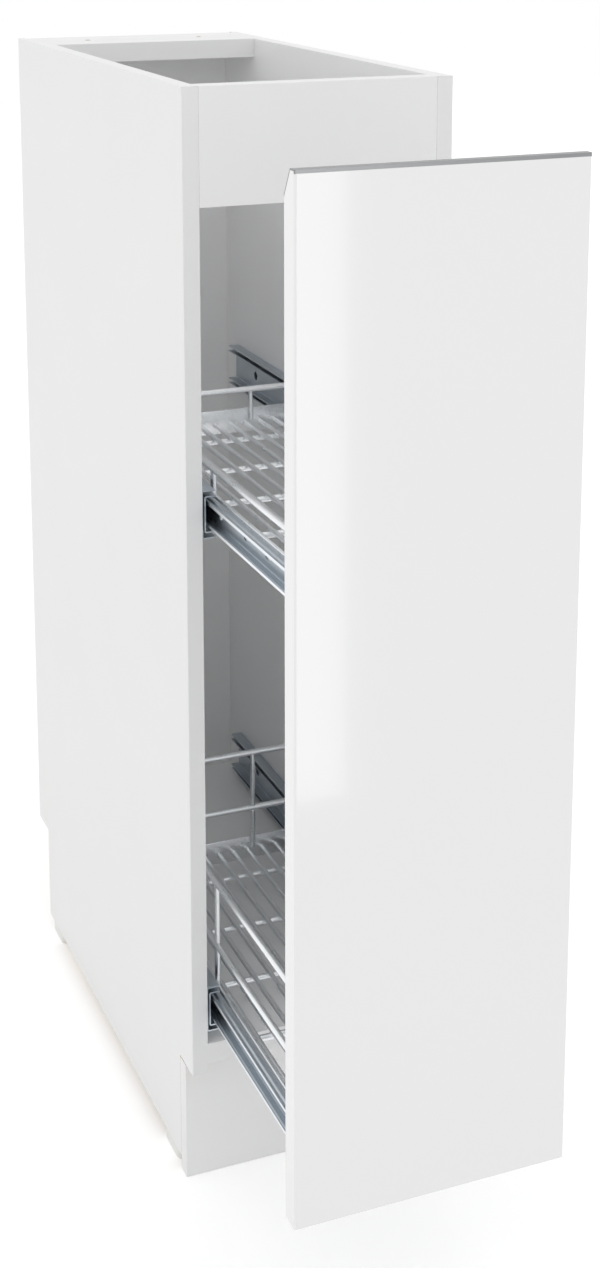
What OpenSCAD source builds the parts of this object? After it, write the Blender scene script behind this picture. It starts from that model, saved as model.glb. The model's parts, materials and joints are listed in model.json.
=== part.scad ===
// Narrow pull-out base cabinet with two wire baskets behind one tall front.
// Millimetres, +Z up, +Y towards the wall, the front faces -Y, the floor is at Z = 0.
// The pull-out is drawn part-way out; its pieces are described as they lie when it is shut.

/* [Cabinet] */
// Outer width of the cabinet
cabinet_w = 200; // [190:5:300]
// Depth of the side boards, without the front panel
cabinet_d = 440; // [430:5:560]
// Height from the floor to the underside of the worktop
cabinet_h = 820; // [780:5:900]
// Thickness of the side boards
side_t = 12; // [12:1:16]
// Thickness of the bottom board and of both rails
board_t = 16; // [15:1:19]
// Thickness of the plastic band on the front edges
edge_t = 0.8; // [0.4:0.2:1.2]

/* [Base] */
// How far the plinth stands behind the front edges
toe_set_back = 17; // [15:1:30]
// Thickness of the plinth board
plinth_t = 12; // [10:1:16]
// Height of the plinth board
plinth_h = 93; // [85:1:96]
// Height of the notches at the foot of the side boards
notch_h = 94; // [86:1:97]
// Depth of the rear notch, which clears a skirting board
rear_notch_d = 30; // [15:1:40]
// Height of the glides under the side boards
glide_h = 10; // [6:1:14]
// Length of a glide
glide_l = 34; // [24:1:44]
// Underside of the bottom board above the floor
bottom_z = 102; // [100:1:108]

/* [Rails and back] */
// Height of the upright front rail
front_rail_h = 82; // [70:1:100]
// Depth of the flat rear rail
rear_rail_d = 73; // [65:1:100]
// Depth of the rebate that takes the back, from the rear edges
rebate_d = 7; // [6:0.5:10]
// Width of the rebate in each side board
rebate_w = 6.5; // [5:0.5:8]
// Thickness of the back
back_t = 3; // [2.5:0.5:4]
// Gap round the back in its rebate
back_gap = 0.5; // [0.3:0.1:1]
// Distance between the two worktop holes in the rear rail
worktop_pitch = 100; // [80:1:110]
// Diameter of the worktop holes
worktop_hole_d = 5; // [4:0.5:7]

/* [Front panel] */
// Thickness of the front panel
panel_t = 16; // [15:1:22]
// Reveal between the panel's edge and the cabinet's side
panel_reveal = 2; // [1:0.5:3]
// Lower edge of the panel above the floor
panel_z = 104; // [101:1:112]
// Height of the grip gap above the panel
grip_gap = 29; // [24:1:45]
// Gap between the shut panel and the cabinet
panel_gap = 2; // [2:0.5:4]
// Depth of the finger bevel behind the panel's top edge
bevel_d = 9; // [4:0.5:10]
// Height of the finger bevel
bevel_h = 16; // [8:1:30]
// Rounding of the panel's lower front edge
panel_r = 1.5; // [0.5:0.5:3]
// Thickness of the metal strip over the panel's top edge and finger bevel
strip_t = 1; // [0.8:0.1:1.5]
// Height of the strip's lip over the panel's front
lip_h = 2.4; // [1.6:0.2:4]
// Diameter of a closing bumper
bumper_d = 6; // [5:0.5:8]
// Clearance left in front of a bumper when the panel is shut
bumper_gap = 0.3; // [0.3:0.1:0.6]

/* [Pull-out] */
// How far the pull-out stands open
drawn_out = 177; // [0:1:390]
// Centre height of the lower runners
lower_z = 144; // [140:1:160]
// Centre height of the upper runners
upper_z = 522; // [440:1:600]
// Length of the runners
runner_l = 400; // [350:10:400]
// Set-back of the runners' front end
runner_set_back = 2; // [2:1:6]

/* [Runner section] */
// Space between a side board and a basket, filled by the runner
runner_w = 12.7; // [12.7:0.1:14]
// Height of a runner's outer member
runner_h = 35.2; // [35.2:0.2:40]
// Sheet thickness of the runner members
sheet_t = 1; // [0.8:0.1:1.2]
// Diameter of the runner balls
ball_d = 3; // [2.5:0.1:3.2]
// Running gap between a ball and a track
ball_gap = 0.1; // [0.05:0.05:0.2]
// Thickness of a ball cage
cage_t = 0.6; // [0.4:0.1:0.7]
// Length of a ball cage
cage_l = 120; // [80:5:150]
// Balls along each edge of a cage
balls = 4; // [2:1:6]

/* [Baskets] */
// Thickness of the flat side bars
bar_t = 3; // [2:0.5:4]
// Height of the flat side bars
bar_h = 20; // [18:1:26]
// Gap between the cabinet's front plane and the basket's end bar
basket_front = 28; // [28:1:40]
// Diameter of the rail wires
rail_d = 5; // [4:0.5:6]
// Diameter of the uprights
upright_d = 4; // [3:0.5:5]
// Diameter of the lengthwise floor wires
floor_d = 4; // [3:0.5:5]
// Diameter of the cross wires under them
cross_d = 5; // [4:0.5:6]
// Distance between floor wires
floor_pitch = 13; // [10:1:20]
// Inner corner radius of the rails
rail_r = 12; // [8:1:20]
// Height of the upper basket's rail above its runners
upper_rail = 26; // [20:1:60]
// Height of the lower basket's middle rail above its runners
lower_rail_1 = 37; // [25:1:60]
// Height of the lower basket's top rail above its runners
lower_rail_2 = 87; // [70:1:140]

/* [Fittings] */
// Radial clearance of screws, dowels and cams in their holes
pin_gap = 0.1; // [0.05:0.05:0.2]
// Diameter of a wooden dowel
dowel_d = 8; // [6:1:8]
// Diameter of a cam
cam_d = 15; // [12:1:15]
// Distance from a board's end to the centre of its cam
cam_reach = 24; // [20:1:30]
// Diameter of the runner screws
runner_screw_d = 3; // [2.5:0.5:3.5]
// Diameter of the basket screws
basket_screw_d = 4; // [3:0.5:5]
// Diameter of the chipboard screws
wood_screw_d = 3.5; // [3:0.5:4.5]
// Sheet thickness of the angles and brackets
angle_t = 2; // [1.5:0.5:3]
// Distance between the two wall holes
wall_pitch = 64; // [50:1:80]
// Diameter of the wall holes
wall_hole_d = 6; // [5:0.5:8]

/* [Hidden] */
$fn = 48;
eps = 0.01;
cut = 1;

// overall layout
reach = drawn_out + panel_gap + panel_t;
front_y = reach - (cabinet_d + reach) / 2;
inner_x = cabinet_w / 2 - side_t;
rail_back_y = cabinet_d - rebate_d;
rear_rail_y = rail_back_y - rear_rail_d;
rear_rail_z = cabinet_h - board_t;
front_rail_z = cabinet_h - front_rail_h;
plinth_back_y = toe_set_back + plinth_t;
panel_w = cabinet_w - 2 * panel_reveal;
panel_top = cabinet_h - grip_gap;
side_mid_x = inner_x + side_t / 2;

// runner section, measured from the side board (u) and from the runner's centre line (v)
outer_u = runner_w - 2.7;
outer_v = runner_h / 2;
outer_track = outer_v - sheet_t;
outer_ball_v = outer_track - ball_gap - ball_d / 2;
middle_v = outer_ball_v - ball_d / 2 - ball_gap;
middle_track = middle_v - sheet_t;
inner_ball_v = middle_track - ball_gap - ball_d / 2;
inner_v = inner_ball_v - ball_d / 2 - ball_gap;
web_gap = (1.4 - cage_t) / 4;
outer_cage_u = sheet_t + web_gap;
middle_u = outer_cage_u + cage_t + web_gap;
middle_end_u = runner_w - 2.2;
inner_cage_u = middle_u + sheet_t + 2 * web_gap;
inner_u = inner_cage_u + cage_t + 3 * web_gap;
outer_ball_u = (outer_cage_u + outer_u) / 2;
inner_ball_u = (inner_cage_u + middle_end_u) / 2;
cage_lip = 0.7;
cage_hole = 0.2;
track_r = 1.6;
cage_y = runner_set_back + (runner_l - cage_l) / 2;
runner_screws_y = [32, runner_l / 2 - 8, runner_l - 48];
runner_screw_l = side_t - 2;

// The inner members run out first; past half the travel they draw the middle members along.
middle_out = max(0, drawn_out - runner_l / 2);
outer_cage_out = middle_out / 2;
inner_cage_out = (middle_out + drawn_out) / 2;

// front panel, in the plane across its width
panel_front_y = -panel_gap - panel_t;
panel_back_y = -panel_gap;
shoulder_y = panel_back_y - bevel_d;
bevel_l = sqrt(bevel_d * bevel_d + bevel_h * bevel_h);
strip_back_z = panel_top - bevel_h - strip_t * bevel_l / bevel_d;
strip_bed = [
    [panel_front_y, panel_top - lip_h], [panel_front_y + strip_t, panel_top - lip_h],
    [panel_front_y + strip_t, panel_top - strip_t],
    [shoulder_y - strip_t * (bevel_l - bevel_d) / bevel_h, panel_top - strip_t],
    [panel_back_y, strip_back_z]
];

// baskets
basket_x = inner_x - runner_w;
bar_in_x = basket_x - bar_t;
basket_l = runner_l;
rail_x = basket_x - bar_t - rail_d / 2 + 2;
rail_front_y = basket_front + bar_t + rail_d / 2 - 1.5;
rail_rear_y = basket_l - bar_t - rail_d / 2 + 1.5;
floor_z = -bar_h / 2 + cross_d + floor_d / 2 + 1;
cross_z = floor_z - (floor_d + cross_d) / 2 + 0.5;
floor_half = floor((bar_in_x - floor_d) / floor_pitch);
basket_screws_y = [14, basket_l / 2 - 30, basket_l - 40];
cross_count = 5;
uprights_y = [rail_front_y + rail_r + 1, basket_l / 2, rail_rear_y - rail_r - 1];
end_upright_x = basket_x * 0.4;

// brackets between baskets and panel
bracket_w = 25;
bracket_h = 50;
bracket_leg = basket_front - 1;
bracket_arm_h = bar_h - 2;
bracket_screw_x = bar_in_x - 14;
bracket_screw_z = 17;
panel_screw_l = 11;
basket_screw_l = 8;
head_h = 2;
wood_head_d = 7;
basket_head_d = 6.5;

// carcass fittings: [y, z, turn of the cam], mirrored to both ends of each board
cam_depth = 12;
cam_bolt_l = 8.5;
bolt_d = 5;
bolt_neck_d = 4.4;
bolt_head_d = 6.6;
bolt_head_l = 3;
bolt_head_x = 0.5;
bolt_bore_d = 8;
dowel_in = 8;
dowel_out = 20;
bottom_mid = bottom_z + board_t / 2;
rear_mid = rear_rail_z + board_t / 2;
up = [0, 0, 0];
back = [90, 0, 0];
cam_front_inset = 100;
cam_rear_inset = 110;
dowel_front_inset = 60;
dowel_rear_inset = 70;
rear_rail_inset = 20;
front_cam_rise = 27;
front_dowel_drop = 23;
bottom_cams = [
    [cam_front_inset, bottom_mid, up], [cabinet_d - cam_rear_inset, bottom_mid, up]
];
rear_cams = [[rear_rail_y + rear_rail_inset, rear_mid, up]];
front_cams = [[board_t / 2, front_rail_z + front_cam_rise, back]];
cams = concat(bottom_cams, rear_cams, front_cams);
bottom_dowels = [[dowel_front_inset, bottom_mid], [cabinet_d - dowel_rear_inset, bottom_mid]];
rear_dowels = [[rail_back_y - rear_rail_inset, rear_mid]];
front_dowels = [[board_t / 2, cabinet_h - front_dowel_drop]];
dowels = concat(bottom_dowels, rear_dowels, front_dowels);
glides_y = [plinth_back_y + glide_l / 2 + 8, cabinet_d - rear_notch_d - glide_l / 2 - 8];
glide_nail_d = 2.4;
glide_nail_l = 14;
nail_d = 1.8;
nail_l = 14;
nail_head_d = 4.5;
nail_head_h = 1;
side_nail_x = inner_x + rebate_w / 2;
board_nail_x = inner_x * 0.55;
side_nails_z = [cabinet_h * 0.3, cabinet_h * 0.53, cabinet_h * 0.76];
angle_leg = 25;
angle_h = 30;
angle_z = plinth_h / 2 - angle_h / 2;
wall_angle_w = 90;
wall_leg = 38;
wall_seat = 30;
wall_hole_drop = 24;
wall_hole_z = rear_rail_z - angle_t - wall_hole_drop;
wall_screw_inset = 14;
wall_screw_x = wall_angle_w / 2 - wall_screw_inset;

// Places what stands still; Y = 0 is the plane of the cabinet's front edges.
module fixed() { translate([0, front_y, 0]) children(); }
// Places what has moved out by a length.
module drawn(out) { translate([0, front_y - out, 0]) children(); }
module left_and_right() {
    children();
    mirror([1, 0, 0]) children();
}
// A cylinder along X, Y or Z from its base.
module rod_x(d, l) { rotate([0, 90, 0]) cylinder(d = d, h = l); }
module rod_y(d, l) { rotate([-90, 0, 0]) cylinder(d = d, h = l); }
module rod_z(d, l) { cylinder(d = d, h = l); }

// Cam pocket, bolt bore and dowel bore at the right end of a board.
module cam_pocket() {
    translate([0, 0, -board_t / 2 - cut]) cylinder(d = cam_d, h = cam_depth + cut);
    rod_x(bolt_bore_d, cam_reach + cut);
}
module at_cams(list) {
    for (c = list) translate([inner_x - cam_reach, c[0], c[1]]) rotate(c[2]) children();
}
module at_dowels(list) {
    for (c = list) translate([inner_x, c[0], c[1]]) children();
}
module board_end_bores(cam_list, dowel_list) {
    left_and_right() {
        at_cams(cam_list) cam_pocket();
        at_dowels(dowel_list)
            translate([-dowel_out - 0.5, 0, 0]) rod_x(dowel_d + 2 * pin_gap, dowel_out + 0.5 + cut);
    }
}

// One side board, drawn as the right one.
module side_board() {
    foot_l = plinth_back_y + pin_gap;
    difference() {
        translate([inner_x, edge_t, glide_h]) cube([side_t, cabinet_d - edge_t, cabinet_h - glide_h]);
        translate([inner_x - cut, -cut, 0]) cube([side_t + 2 * cut, foot_l + cut, notch_h]);
        translate([inner_x - cut, cabinet_d - rear_notch_d, 0])
            cube([side_t + 2 * cut, rear_notch_d + cut, notch_h]);
        translate([inner_x - cut, rail_back_y, 0])
            cube([rebate_w + cut, rebate_d + cut, cabinet_h + cut]);
        at_cams(cams) translate([cam_reach - cut, 0, 0])
            rod_x(bolt_d + 2 * pin_gap, cam_bolt_l + 0.5 + cut);
        at_dowels(dowels) translate([-cut, 0, 0])
            rod_x(dowel_d + 2 * pin_gap, dowel_in + 0.5 + cut);
        for (z = [lower_z, upper_z], y = runner_screws_y) translate([inner_x - cut, y, z])
            rod_x(runner_screw_d + 2 * pin_gap, runner_screw_l + 0.5 + cut);
        for (y = glides_y) translate([side_mid_x, y, 0])
            rod_z(glide_nail_d + 2 * pin_gap, glide_h + glide_nail_l + 0.5);
        for (z = side_nails_z) translate([side_nail_x, rail_back_y - nail_l + back_t - 0.5, z])
            rod_y(nail_d + 2 * pin_gap, nail_l + cut);
        translate([inner_x - cut, plinth_back_y + angle_leg / 2 + 2, angle_z + angle_h / 2])
            rod_x(wood_screw_d + 2 * pin_gap, side_t - 2 + cut);
    }
}
module left_side() { color("#e8e9e8") fixed() mirror([1, 0, 0]) side_board(); }
module right_side() { color("#e8e9e8") fixed() side_board(); }

module bottom_board() {
    color("#dfe0df") fixed() difference() {
        translate([-inner_x, edge_t, bottom_z]) cube([2 * inner_x, rail_back_y - edge_t, board_t]);
        board_end_bores(bottom_cams, bottom_dowels);
        left_and_right() board_nail_bore(bottom_mid);
    }
}
module front_rail() {
    color("#dfe0df") fixed() difference() {
        translate([-inner_x, 0, front_rail_z]) cube([2 * inner_x, board_t, front_rail_h]);
        board_end_bores(front_cams, front_dowels);
    }
}
module rear_rail() {
    color("#dfe0df") fixed() difference() {
        translate([-inner_x, rear_rail_y + edge_t, rear_rail_z])
            cube([2 * inner_x, rear_rail_d - edge_t, board_t]);
        board_end_bores(rear_cams, rear_dowels);
        left_and_right() {
            board_nail_bore(rear_mid);
            translate([worktop_pitch / 2, rear_rail_y + rear_rail_d / 2, rear_rail_z - cut])
                rod_z(worktop_hole_d, board_t + 2 * cut);
            translate([wall_screw_x, rail_back_y - wall_seat / 2, rear_rail_z - cut])
                rod_z(wood_screw_d + 2 * pin_gap, board_t - 3 + cut);
        }
    }
}
module board_nail_bore(z) {
    translate([board_nail_x, rail_back_y - nail_l + back_t - 0.5, z])
        rod_y(nail_d + 2 * pin_gap, nail_l + cut);
}

// Back, in the rebates of the sides and over the rear faces of the rail and the bottom board.
module back_panel() {
    half = inner_x + rebate_w - back_gap;
    color("#d9dad9") fixed() difference() {
        translate([-half, rail_back_y, bottom_z]) cube([2 * half, back_t, cabinet_h - 2 - bottom_z]);
        left_and_right() {
            for (z = side_nails_z) translate([side_nail_x, rail_back_y - cut, z])
                rod_y(nail_d + 2 * pin_gap, back_t + 2 * cut);
            for (z = [bottom_mid, rear_mid]) translate([board_nail_x, rail_back_y - cut, z])
                rod_y(nail_d + 2 * pin_gap, back_t + 2 * cut);
            translate([wall_pitch / 2, rail_back_y - cut, wall_hole_z])
                rod_y(wall_hole_d + 2, back_t + 2 * cut);
        }
    }
}
module back_nails() {
    color("#b9bcbf") fixed() left_and_right() {
        for (z = side_nails_z) nail_at(side_nail_x, z);
        for (z = [bottom_mid, rear_mid]) nail_at(board_nail_x, z);
    }
}
module nail_at(x, z) {
    translate([x, rail_back_y + back_t - nail_l, z]) rod_y(nail_d, nail_l);
    translate([x, rail_back_y + back_t, z]) rod_y(nail_head_d, nail_head_h);
}

module plinth_board() {
    color("#dcdddc") fixed() difference() {
        translate([-cabinet_w / 2, toe_set_back, 0]) cube([cabinet_w, plinth_t, plinth_h]);
        left_and_right() translate([inner_x - angle_leg / 2 - 2, plinth_back_y - plinth_t + 3,
                angle_z + angle_h / 2])
            rod_y(wood_screw_d + 2 * pin_gap, plinth_t);
    }
}
// Plastic bands on the front edges of the sides, the bottom board and the rear rail.
module edge_bands() {
    color("#d5d7d6") fixed() {
        left_and_right() translate([inner_x, 0, notch_h]) cube([side_t, edge_t, cabinet_h - notch_h]);
        translate([-inner_x, 0, bottom_z]) cube([2 * inner_x, edge_t, board_t]);
        translate([-inner_x, rear_rail_y, rear_rail_z]) cube([2 * inner_x, edge_t, board_t]);
    }
}

// Angles that hold the plinth to the sides, each with one screw in each leg.
module plinth_angles() {
    color("#c6c9cc") fixed() left_and_right() difference() {
        union() {
            translate([inner_x - angle_leg, plinth_back_y, angle_z]) cube([angle_leg, angle_t, angle_h]);
            translate([inner_x - angle_t, plinth_back_y, angle_z]) cube([angle_t, angle_leg, angle_h]);
        }
        translate([inner_x - angle_leg / 2 - 2, plinth_back_y - cut, angle_z + angle_h / 2])
            rod_y(wood_screw_d + 2 * pin_gap, angle_t + 2 * cut);
        translate([inner_x - angle_t - cut, plinth_back_y + angle_leg / 2 + 2, angle_z + angle_h / 2])
            rod_x(wood_screw_d + 2 * pin_gap, angle_t + 2 * cut);
    }
}
// A pan-head screw: its head's seat is at Z = 0 and its shank runs up.
module pan_screw(d, l, head) {
    rod_z(d, l);
    difference() {
        translate([0, 0, -head_h]) cylinder(d1 = head * 0.8, d2 = head, h = head_h);
        for (turn = [0, 90]) rotate(turn) translate([-head * 0.27, -d * 0.11, -head_h - cut])
            cube([head * 0.54, d * 0.22, cut + head_h * 0.45]);
    }
}
module plinth_screws() {
    color("#b4b8bc") fixed() left_and_right() {
        translate([inner_x - angle_leg / 2 - 2, plinth_back_y + angle_t, angle_z + angle_h / 2])
            rotate([90, 0, 0]) pan_screw(wood_screw_d, plinth_t - 2, wood_head_d);
        translate([inner_x - angle_t, plinth_back_y + angle_leg / 2 + 2, angle_z + angle_h / 2])
            rotate([0, 90, 0]) pan_screw(wood_screw_d, side_t - 1.5, wood_head_d);
    }
}
module side_glides() {
    glide_w = side_t - 1;
    color("#f0f0ee") fixed() left_and_right() for (y = glides_y) translate([side_mid_x, y, 0]) {
        linear_extrude(height = glide_h) union() {
            square([glide_w, glide_l - glide_w], center = true);
            for (s = [-1, 1]) translate([0, s * (glide_l - glide_w) / 2]) circle(d = glide_w);
        }
        translate([0, 0, glide_h - eps]) rod_z(glide_nail_d, glide_nail_l + eps);
    }
}

// Cam fittings and dowels between the sides and the horizontal boards.
module cam_bolts() {
    color("#c9ccd0") fixed() left_and_right() at_cams(cams) {
        translate([bolt_head_x, 0, 0]) rod_x(bolt_head_d, bolt_head_l);
        translate([bolt_head_l, 0, 0]) rod_x(bolt_neck_d, cam_reach - bolt_head_l + eps);
        translate([cam_reach, 0, 0]) rod_x(bolt_d, cam_bolt_l);
    }
}
module cams() {
    color("#a9adb1") fixed() left_and_right() at_cams(cams) difference() {
        translate([0, 0, -board_t / 2]) cylinder(d = cam_d - 2 * pin_gap, h = cam_depth - 0.5);
        translate([bolt_head_x - 0.2, 0, 0]) rod_x(bolt_head_d + 0.6, cam_d);
        for (turn = [45, 135]) rotate(turn) translate([-cam_d * 0.27, -0.7, -board_t / 2 - cut])
            cube([cam_d * 0.54, 1.4, cut + 2]);
    }
}
module dowels() {
    color("#cfa878") fixed() left_and_right() at_dowels(dowels)
        translate([-dowel_out, 0, 0]) rod_x(dowel_d, dowel_out + dowel_in);
}

// Angle under the rear rail that ties the cabinet to the wall through the back.
module wall_angle() {
    color("#e3e4e3") fixed() difference() {
        union() {
            translate([-wall_angle_w / 2, rail_back_y - wall_seat, rear_rail_z - angle_t])
                cube([wall_angle_w, wall_seat, angle_t]);
            translate([-wall_angle_w / 2, rail_back_y - angle_t, rear_rail_z - wall_leg])
                cube([wall_angle_w, angle_t, wall_leg]);
        }
        left_and_right() {
            translate([wall_pitch / 2, rail_back_y - angle_t - cut, wall_hole_z])
                rod_y(wall_hole_d, angle_t + 2 * cut);
            translate([wall_screw_x, rail_back_y - wall_seat / 2, rear_rail_z - angle_t - cut])
                rod_z(wood_screw_d + 2 * pin_gap, angle_t + 2 * cut);
        }
    }
}
module wall_angle_screws() {
    color("#b4b8bc") fixed() left_and_right()
        translate([wall_screw_x, rail_back_y - wall_seat / 2, rear_rail_z - angle_t])
            pan_screw(wood_screw_d, board_t - 4 + angle_t, wood_head_d);
}

// Runner members. Section: u from the side board inwards, v up from the centre line.
module round_rect(u0, u1, v, r) {
    translate([u0 + r, -v]) square([u1 - u0 - 2 * r, 2 * v]);
    translate([u0, -v + r]) square([u1 - u0, 2 * v - 2 * r]);
    for (u = [u0 + r, u1 - r], w = [-v + r, v - r]) translate([u, w]) circle(r = r);
}
// A channel with its web at u0 that opens towards u1.
module channel(u0, u1, v, t, r) {
    far = u1 + 3 * r;
    difference() {
        round_rect(u0, far, v, r);
        round_rect(u0 + t, far + t, v - t, r - t * 0.8);
        translate([u1, -v - cut]) square([far - u1 + cut, 2 * v + 2 * cut]);
    }
}
// Runs a section along a runner of length l, on the left side of the cabinet.
module along_runner(z, y, l) {
    translate([-inner_x, y + l, z]) rotate([90, 0, 0]) linear_extrude(height = l) children();
}
module outer_member(z) {
    difference() {
        along_runner(z, runner_set_back, runner_l) channel(0, outer_u, outer_v, sheet_t, track_r);
        for (y = runner_screws_y) translate([-inner_x - eps, y, z])
            rotate([0, 90, 0]) cylinder(r1 = runner_screw_d / 2 + pin_gap,
                r2 = runner_screw_d + pin_gap, h = sheet_t + 2 * eps);
    }
}
module middle_member(z) {
    difference() {
        along_runner(z, runner_set_back, runner_l)
            channel(middle_u, middle_end_u, middle_v, sheet_t, track_r);
        for (y = runner_screws_y) translate([-inner_x + middle_u - cut, y, z])
            rod_x(2 * runner_screw_d + 1.5, sheet_t + 2 * cut);
    }
}
module inner_member(z) {
    difference() {
        along_runner(z, runner_set_back, runner_l)
            translate([runner_w, 0]) mirror([1, 0])
                channel(0, runner_w - inner_u, inner_v, sheet_t, track_r);
        for (y = basket_screws_y) translate([-basket_x - sheet_t - cut, y, z])
            rod_x(basket_screw_d + 2 * pin_gap, sheet_t + 2 * cut);
    }
}
module outer_runner_upper_left() { color("#c2c7cc") fixed() outer_member(upper_z); }
module outer_runner_upper_right() { color("#c2c7cc") fixed() mirror([1, 0, 0]) outer_member(upper_z); }
module outer_runner_lower_left() { color("#c2c7cc") fixed() outer_member(lower_z); }
module outer_runner_lower_right() { color("#c2c7cc") fixed() mirror([1, 0, 0]) outer_member(lower_z); }
module middle_runner_upper_left() { color("#b7bcc2") drawn(middle_out) middle_member(upper_z); }
module middle_runner_upper_right() {
    color("#b7bcc2") drawn(middle_out) mirror([1, 0, 0]) middle_member(upper_z);
}
module middle_runner_lower_left() { color("#b7bcc2") drawn(middle_out) middle_member(lower_z); }
module middle_runner_lower_right() {
    color("#b7bcc2") drawn(middle_out) mirror([1, 0, 0]) middle_member(lower_z);
}
module inner_runner_upper_left() { color("#aab1b8") drawn(drawn_out) inner_member(upper_z); }
module inner_runner_upper_right() {
    color("#aab1b8") drawn(drawn_out) mirror([1, 0, 0]) inner_member(upper_z);
}
module inner_runner_lower_left() { color("#aab1b8") drawn(drawn_out) inner_member(lower_z); }
module inner_runner_lower_right() {
    color("#aab1b8") drawn(drawn_out) mirror([1, 0, 0]) inner_member(lower_z);
}

module runner_screws() {
    color("#b4b8bc") fixed() left_and_right() for (z = [lower_z, upper_z], y = runner_screws_y)
        translate([-inner_x, y, z]) {
            rotate([0, 90, 0]) cylinder(r1 = runner_screw_d / 2, r2 = runner_screw_d, h = sheet_t);
            translate([-runner_screw_l, 0, 0]) rod_x(runner_screw_d, runner_screw_l + eps);
        }
}

// Ball cages: a thin strip with a lip above and below, bored for the balls.
module ball_places(u, v) {
    step = cage_l / balls;
    for (i = [0 : balls - 1], s = [-1, 1])
        translate([-inner_x + u, cage_y + step * (i + 0.5), s * v]) children();
}
module cage(z, u0, u1, v, u_ball) {
    difference() {
        along_runner(z, cage_y, cage_l) difference() {
            translate([u0, -v - cage_t / 2]) square([u1 - u0, 2 * v + cage_t]);
            translate([u0 + cage_t, -v + cage_t / 2]) square([u1 - u0, 2 * v - cage_t]);
        }
        translate([0, 0, z]) ball_places(u_ball, v)
            translate([0, 0, -cut]) rod_z(ball_d + 2 * cage_hole, 2 * cut);
    }
}
module outer_ball_cages() {
    color("#8f959b") drawn(outer_cage_out) left_and_right() for (z = [lower_z, upper_z])
        cage(z, outer_cage_u, outer_u - cage_lip, outer_ball_v, outer_ball_u);
}
module inner_ball_cages() {
    color("#8f959b") drawn(inner_cage_out) left_and_right() for (z = [lower_z, upper_z])
        cage(z, inner_cage_u, middle_end_u - cage_lip, inner_ball_v, inner_ball_u);
}
module outer_balls() {
    color("#d5d8db") drawn(outer_cage_out) left_and_right() for (z = [lower_z, upper_z])
        translate([0, 0, z]) ball_places(outer_ball_u, outer_ball_v) sphere(d = ball_d);
}
module inner_balls() {
    color("#d5d8db") drawn(inner_cage_out) left_and_right() for (z = [lower_z, upper_z])
        translate([0, 0, z]) ball_places(inner_ball_u, inner_ball_v) sphere(d = ball_d);
}

// A rail: one wire bent round the basket with rounded corners.
module rail_loop() {
    y_mid = (rail_front_y + rail_rear_y) / 2;
    y_half = (rail_rear_y - rail_front_y) / 2;
    run_x = rail_x - rail_r;
    run_y = y_half - rail_r;
    translate([0, y_mid, 0]) {
        left_and_right() translate([rail_x, -run_y, 0]) rod_y(rail_d, 2 * run_y);
        for (s = [-1, 1]) translate([-run_x, s * y_half, 0]) rod_x(rail_d, 2 * run_x);
        for (c = [[1, 1, 0], [-1, 1, 90], [-1, -1, 180], [1, -1, 270]])
            translate([c[0] * run_x, c[1] * run_y, 0]) rotate(c[2])
                rotate_extrude(angle = 90) translate([rail_r, 0]) circle(d = rail_d, $fn = 24);
    }
}
// A welded basket; Z = 0 is the centre line of its runners.
module basket(rails) {
    top = rails[len(rails) - 1];
    cross_step = (basket_l - basket_front) / cross_count;
    union() {
        difference() {
            left_and_right() translate([bar_in_x, 0, -bar_h / 2]) cube([bar_t, basket_l, bar_h]);
            left_and_right() for (y = basket_screws_y) translate([bar_in_x - cut, y, 0])
                rod_x(basket_screw_d + 2 * pin_gap, bar_t + 2 * cut);
        }
        for (y = [basket_front, basket_l - bar_t]) translate([-bar_in_x - 1, y, -bar_h / 2])
            cube([2 * bar_in_x + 2, bar_t, bar_h]);
        for (i = [-floor_half : floor_half]) translate([i * floor_pitch, basket_front + 1, floor_z])
            rod_y(floor_d, basket_l - basket_front - 2);
        for (i = [0 : cross_count - 1])
            translate([-bar_in_x - 1, basket_front + cross_step * (i + 0.5), cross_z])
                rod_x(cross_d, 2 * bar_in_x + 2);
        for (z = rails) translate([0, 0, z]) rail_loop();
        left_and_right() for (y = uprights_y) translate([rail_x, y, 0]) rod_z(upright_d, top);
        left_and_right() for (y = [rail_front_y, rail_rear_y])
            translate([end_upright_x, y, 0]) rod_z(upright_d, top);
    }
}
module upper_basket() { color("#c4c9cf") drawn(drawn_out) translate([0, 0, upper_z]) basket([upper_rail]); }
module lower_basket() {
    color("#c4c9cf") drawn(drawn_out) translate([0, 0, lower_z]) basket([lower_rail_1, lower_rail_2]);
}

module basket_screws() {
    color("#b4b8bc") drawn(drawn_out) left_and_right() for (z = [lower_z, upper_z], y = basket_screws_y)
        translate([-basket_x - sheet_t, y, z]) rotate([0, 90, 0])
            pan_screw(basket_screw_d, basket_screw_l, basket_head_d);
}

// The front panel: one board with a rounded lower edge. A metal strip is let into the front of its
// top edge, over that edge and into the finger bevel behind it.
module across_panel() {
    translate([-panel_w / 2, 0, 0]) rotate([90, 0, 90]) linear_extrude(height = panel_w) children();
}
module front_panel() {
    lower_edge = [for (i = [0 : 4], a = 270 - 22.5 * i)
        [panel_front_y + panel_r * (1 + cos(a)), panel_z + panel_r * (1 + sin(a))]];
    color("#e9eaea") drawn(drawn_out) difference() {
        across_panel() polygon(concat(lower_edge, strip_bed, [[panel_back_y, panel_z]]));
        left_and_right() for (z = [lower_z, upper_z], s = [-1, 1])
            translate([bracket_screw_x, panel_back_y - panel_screw_l, z + s * bracket_screw_z])
                rod_y(wood_screw_d + 2 * pin_gap, panel_screw_l + cut);
    }
}
module grip_strip() {
    over = [[panel_back_y, panel_top - bevel_h], [shoulder_y, panel_top], [panel_front_y, panel_top]];
    color("#85888b") drawn(drawn_out) across_panel() polygon(concat(strip_bed, over));
}
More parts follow.
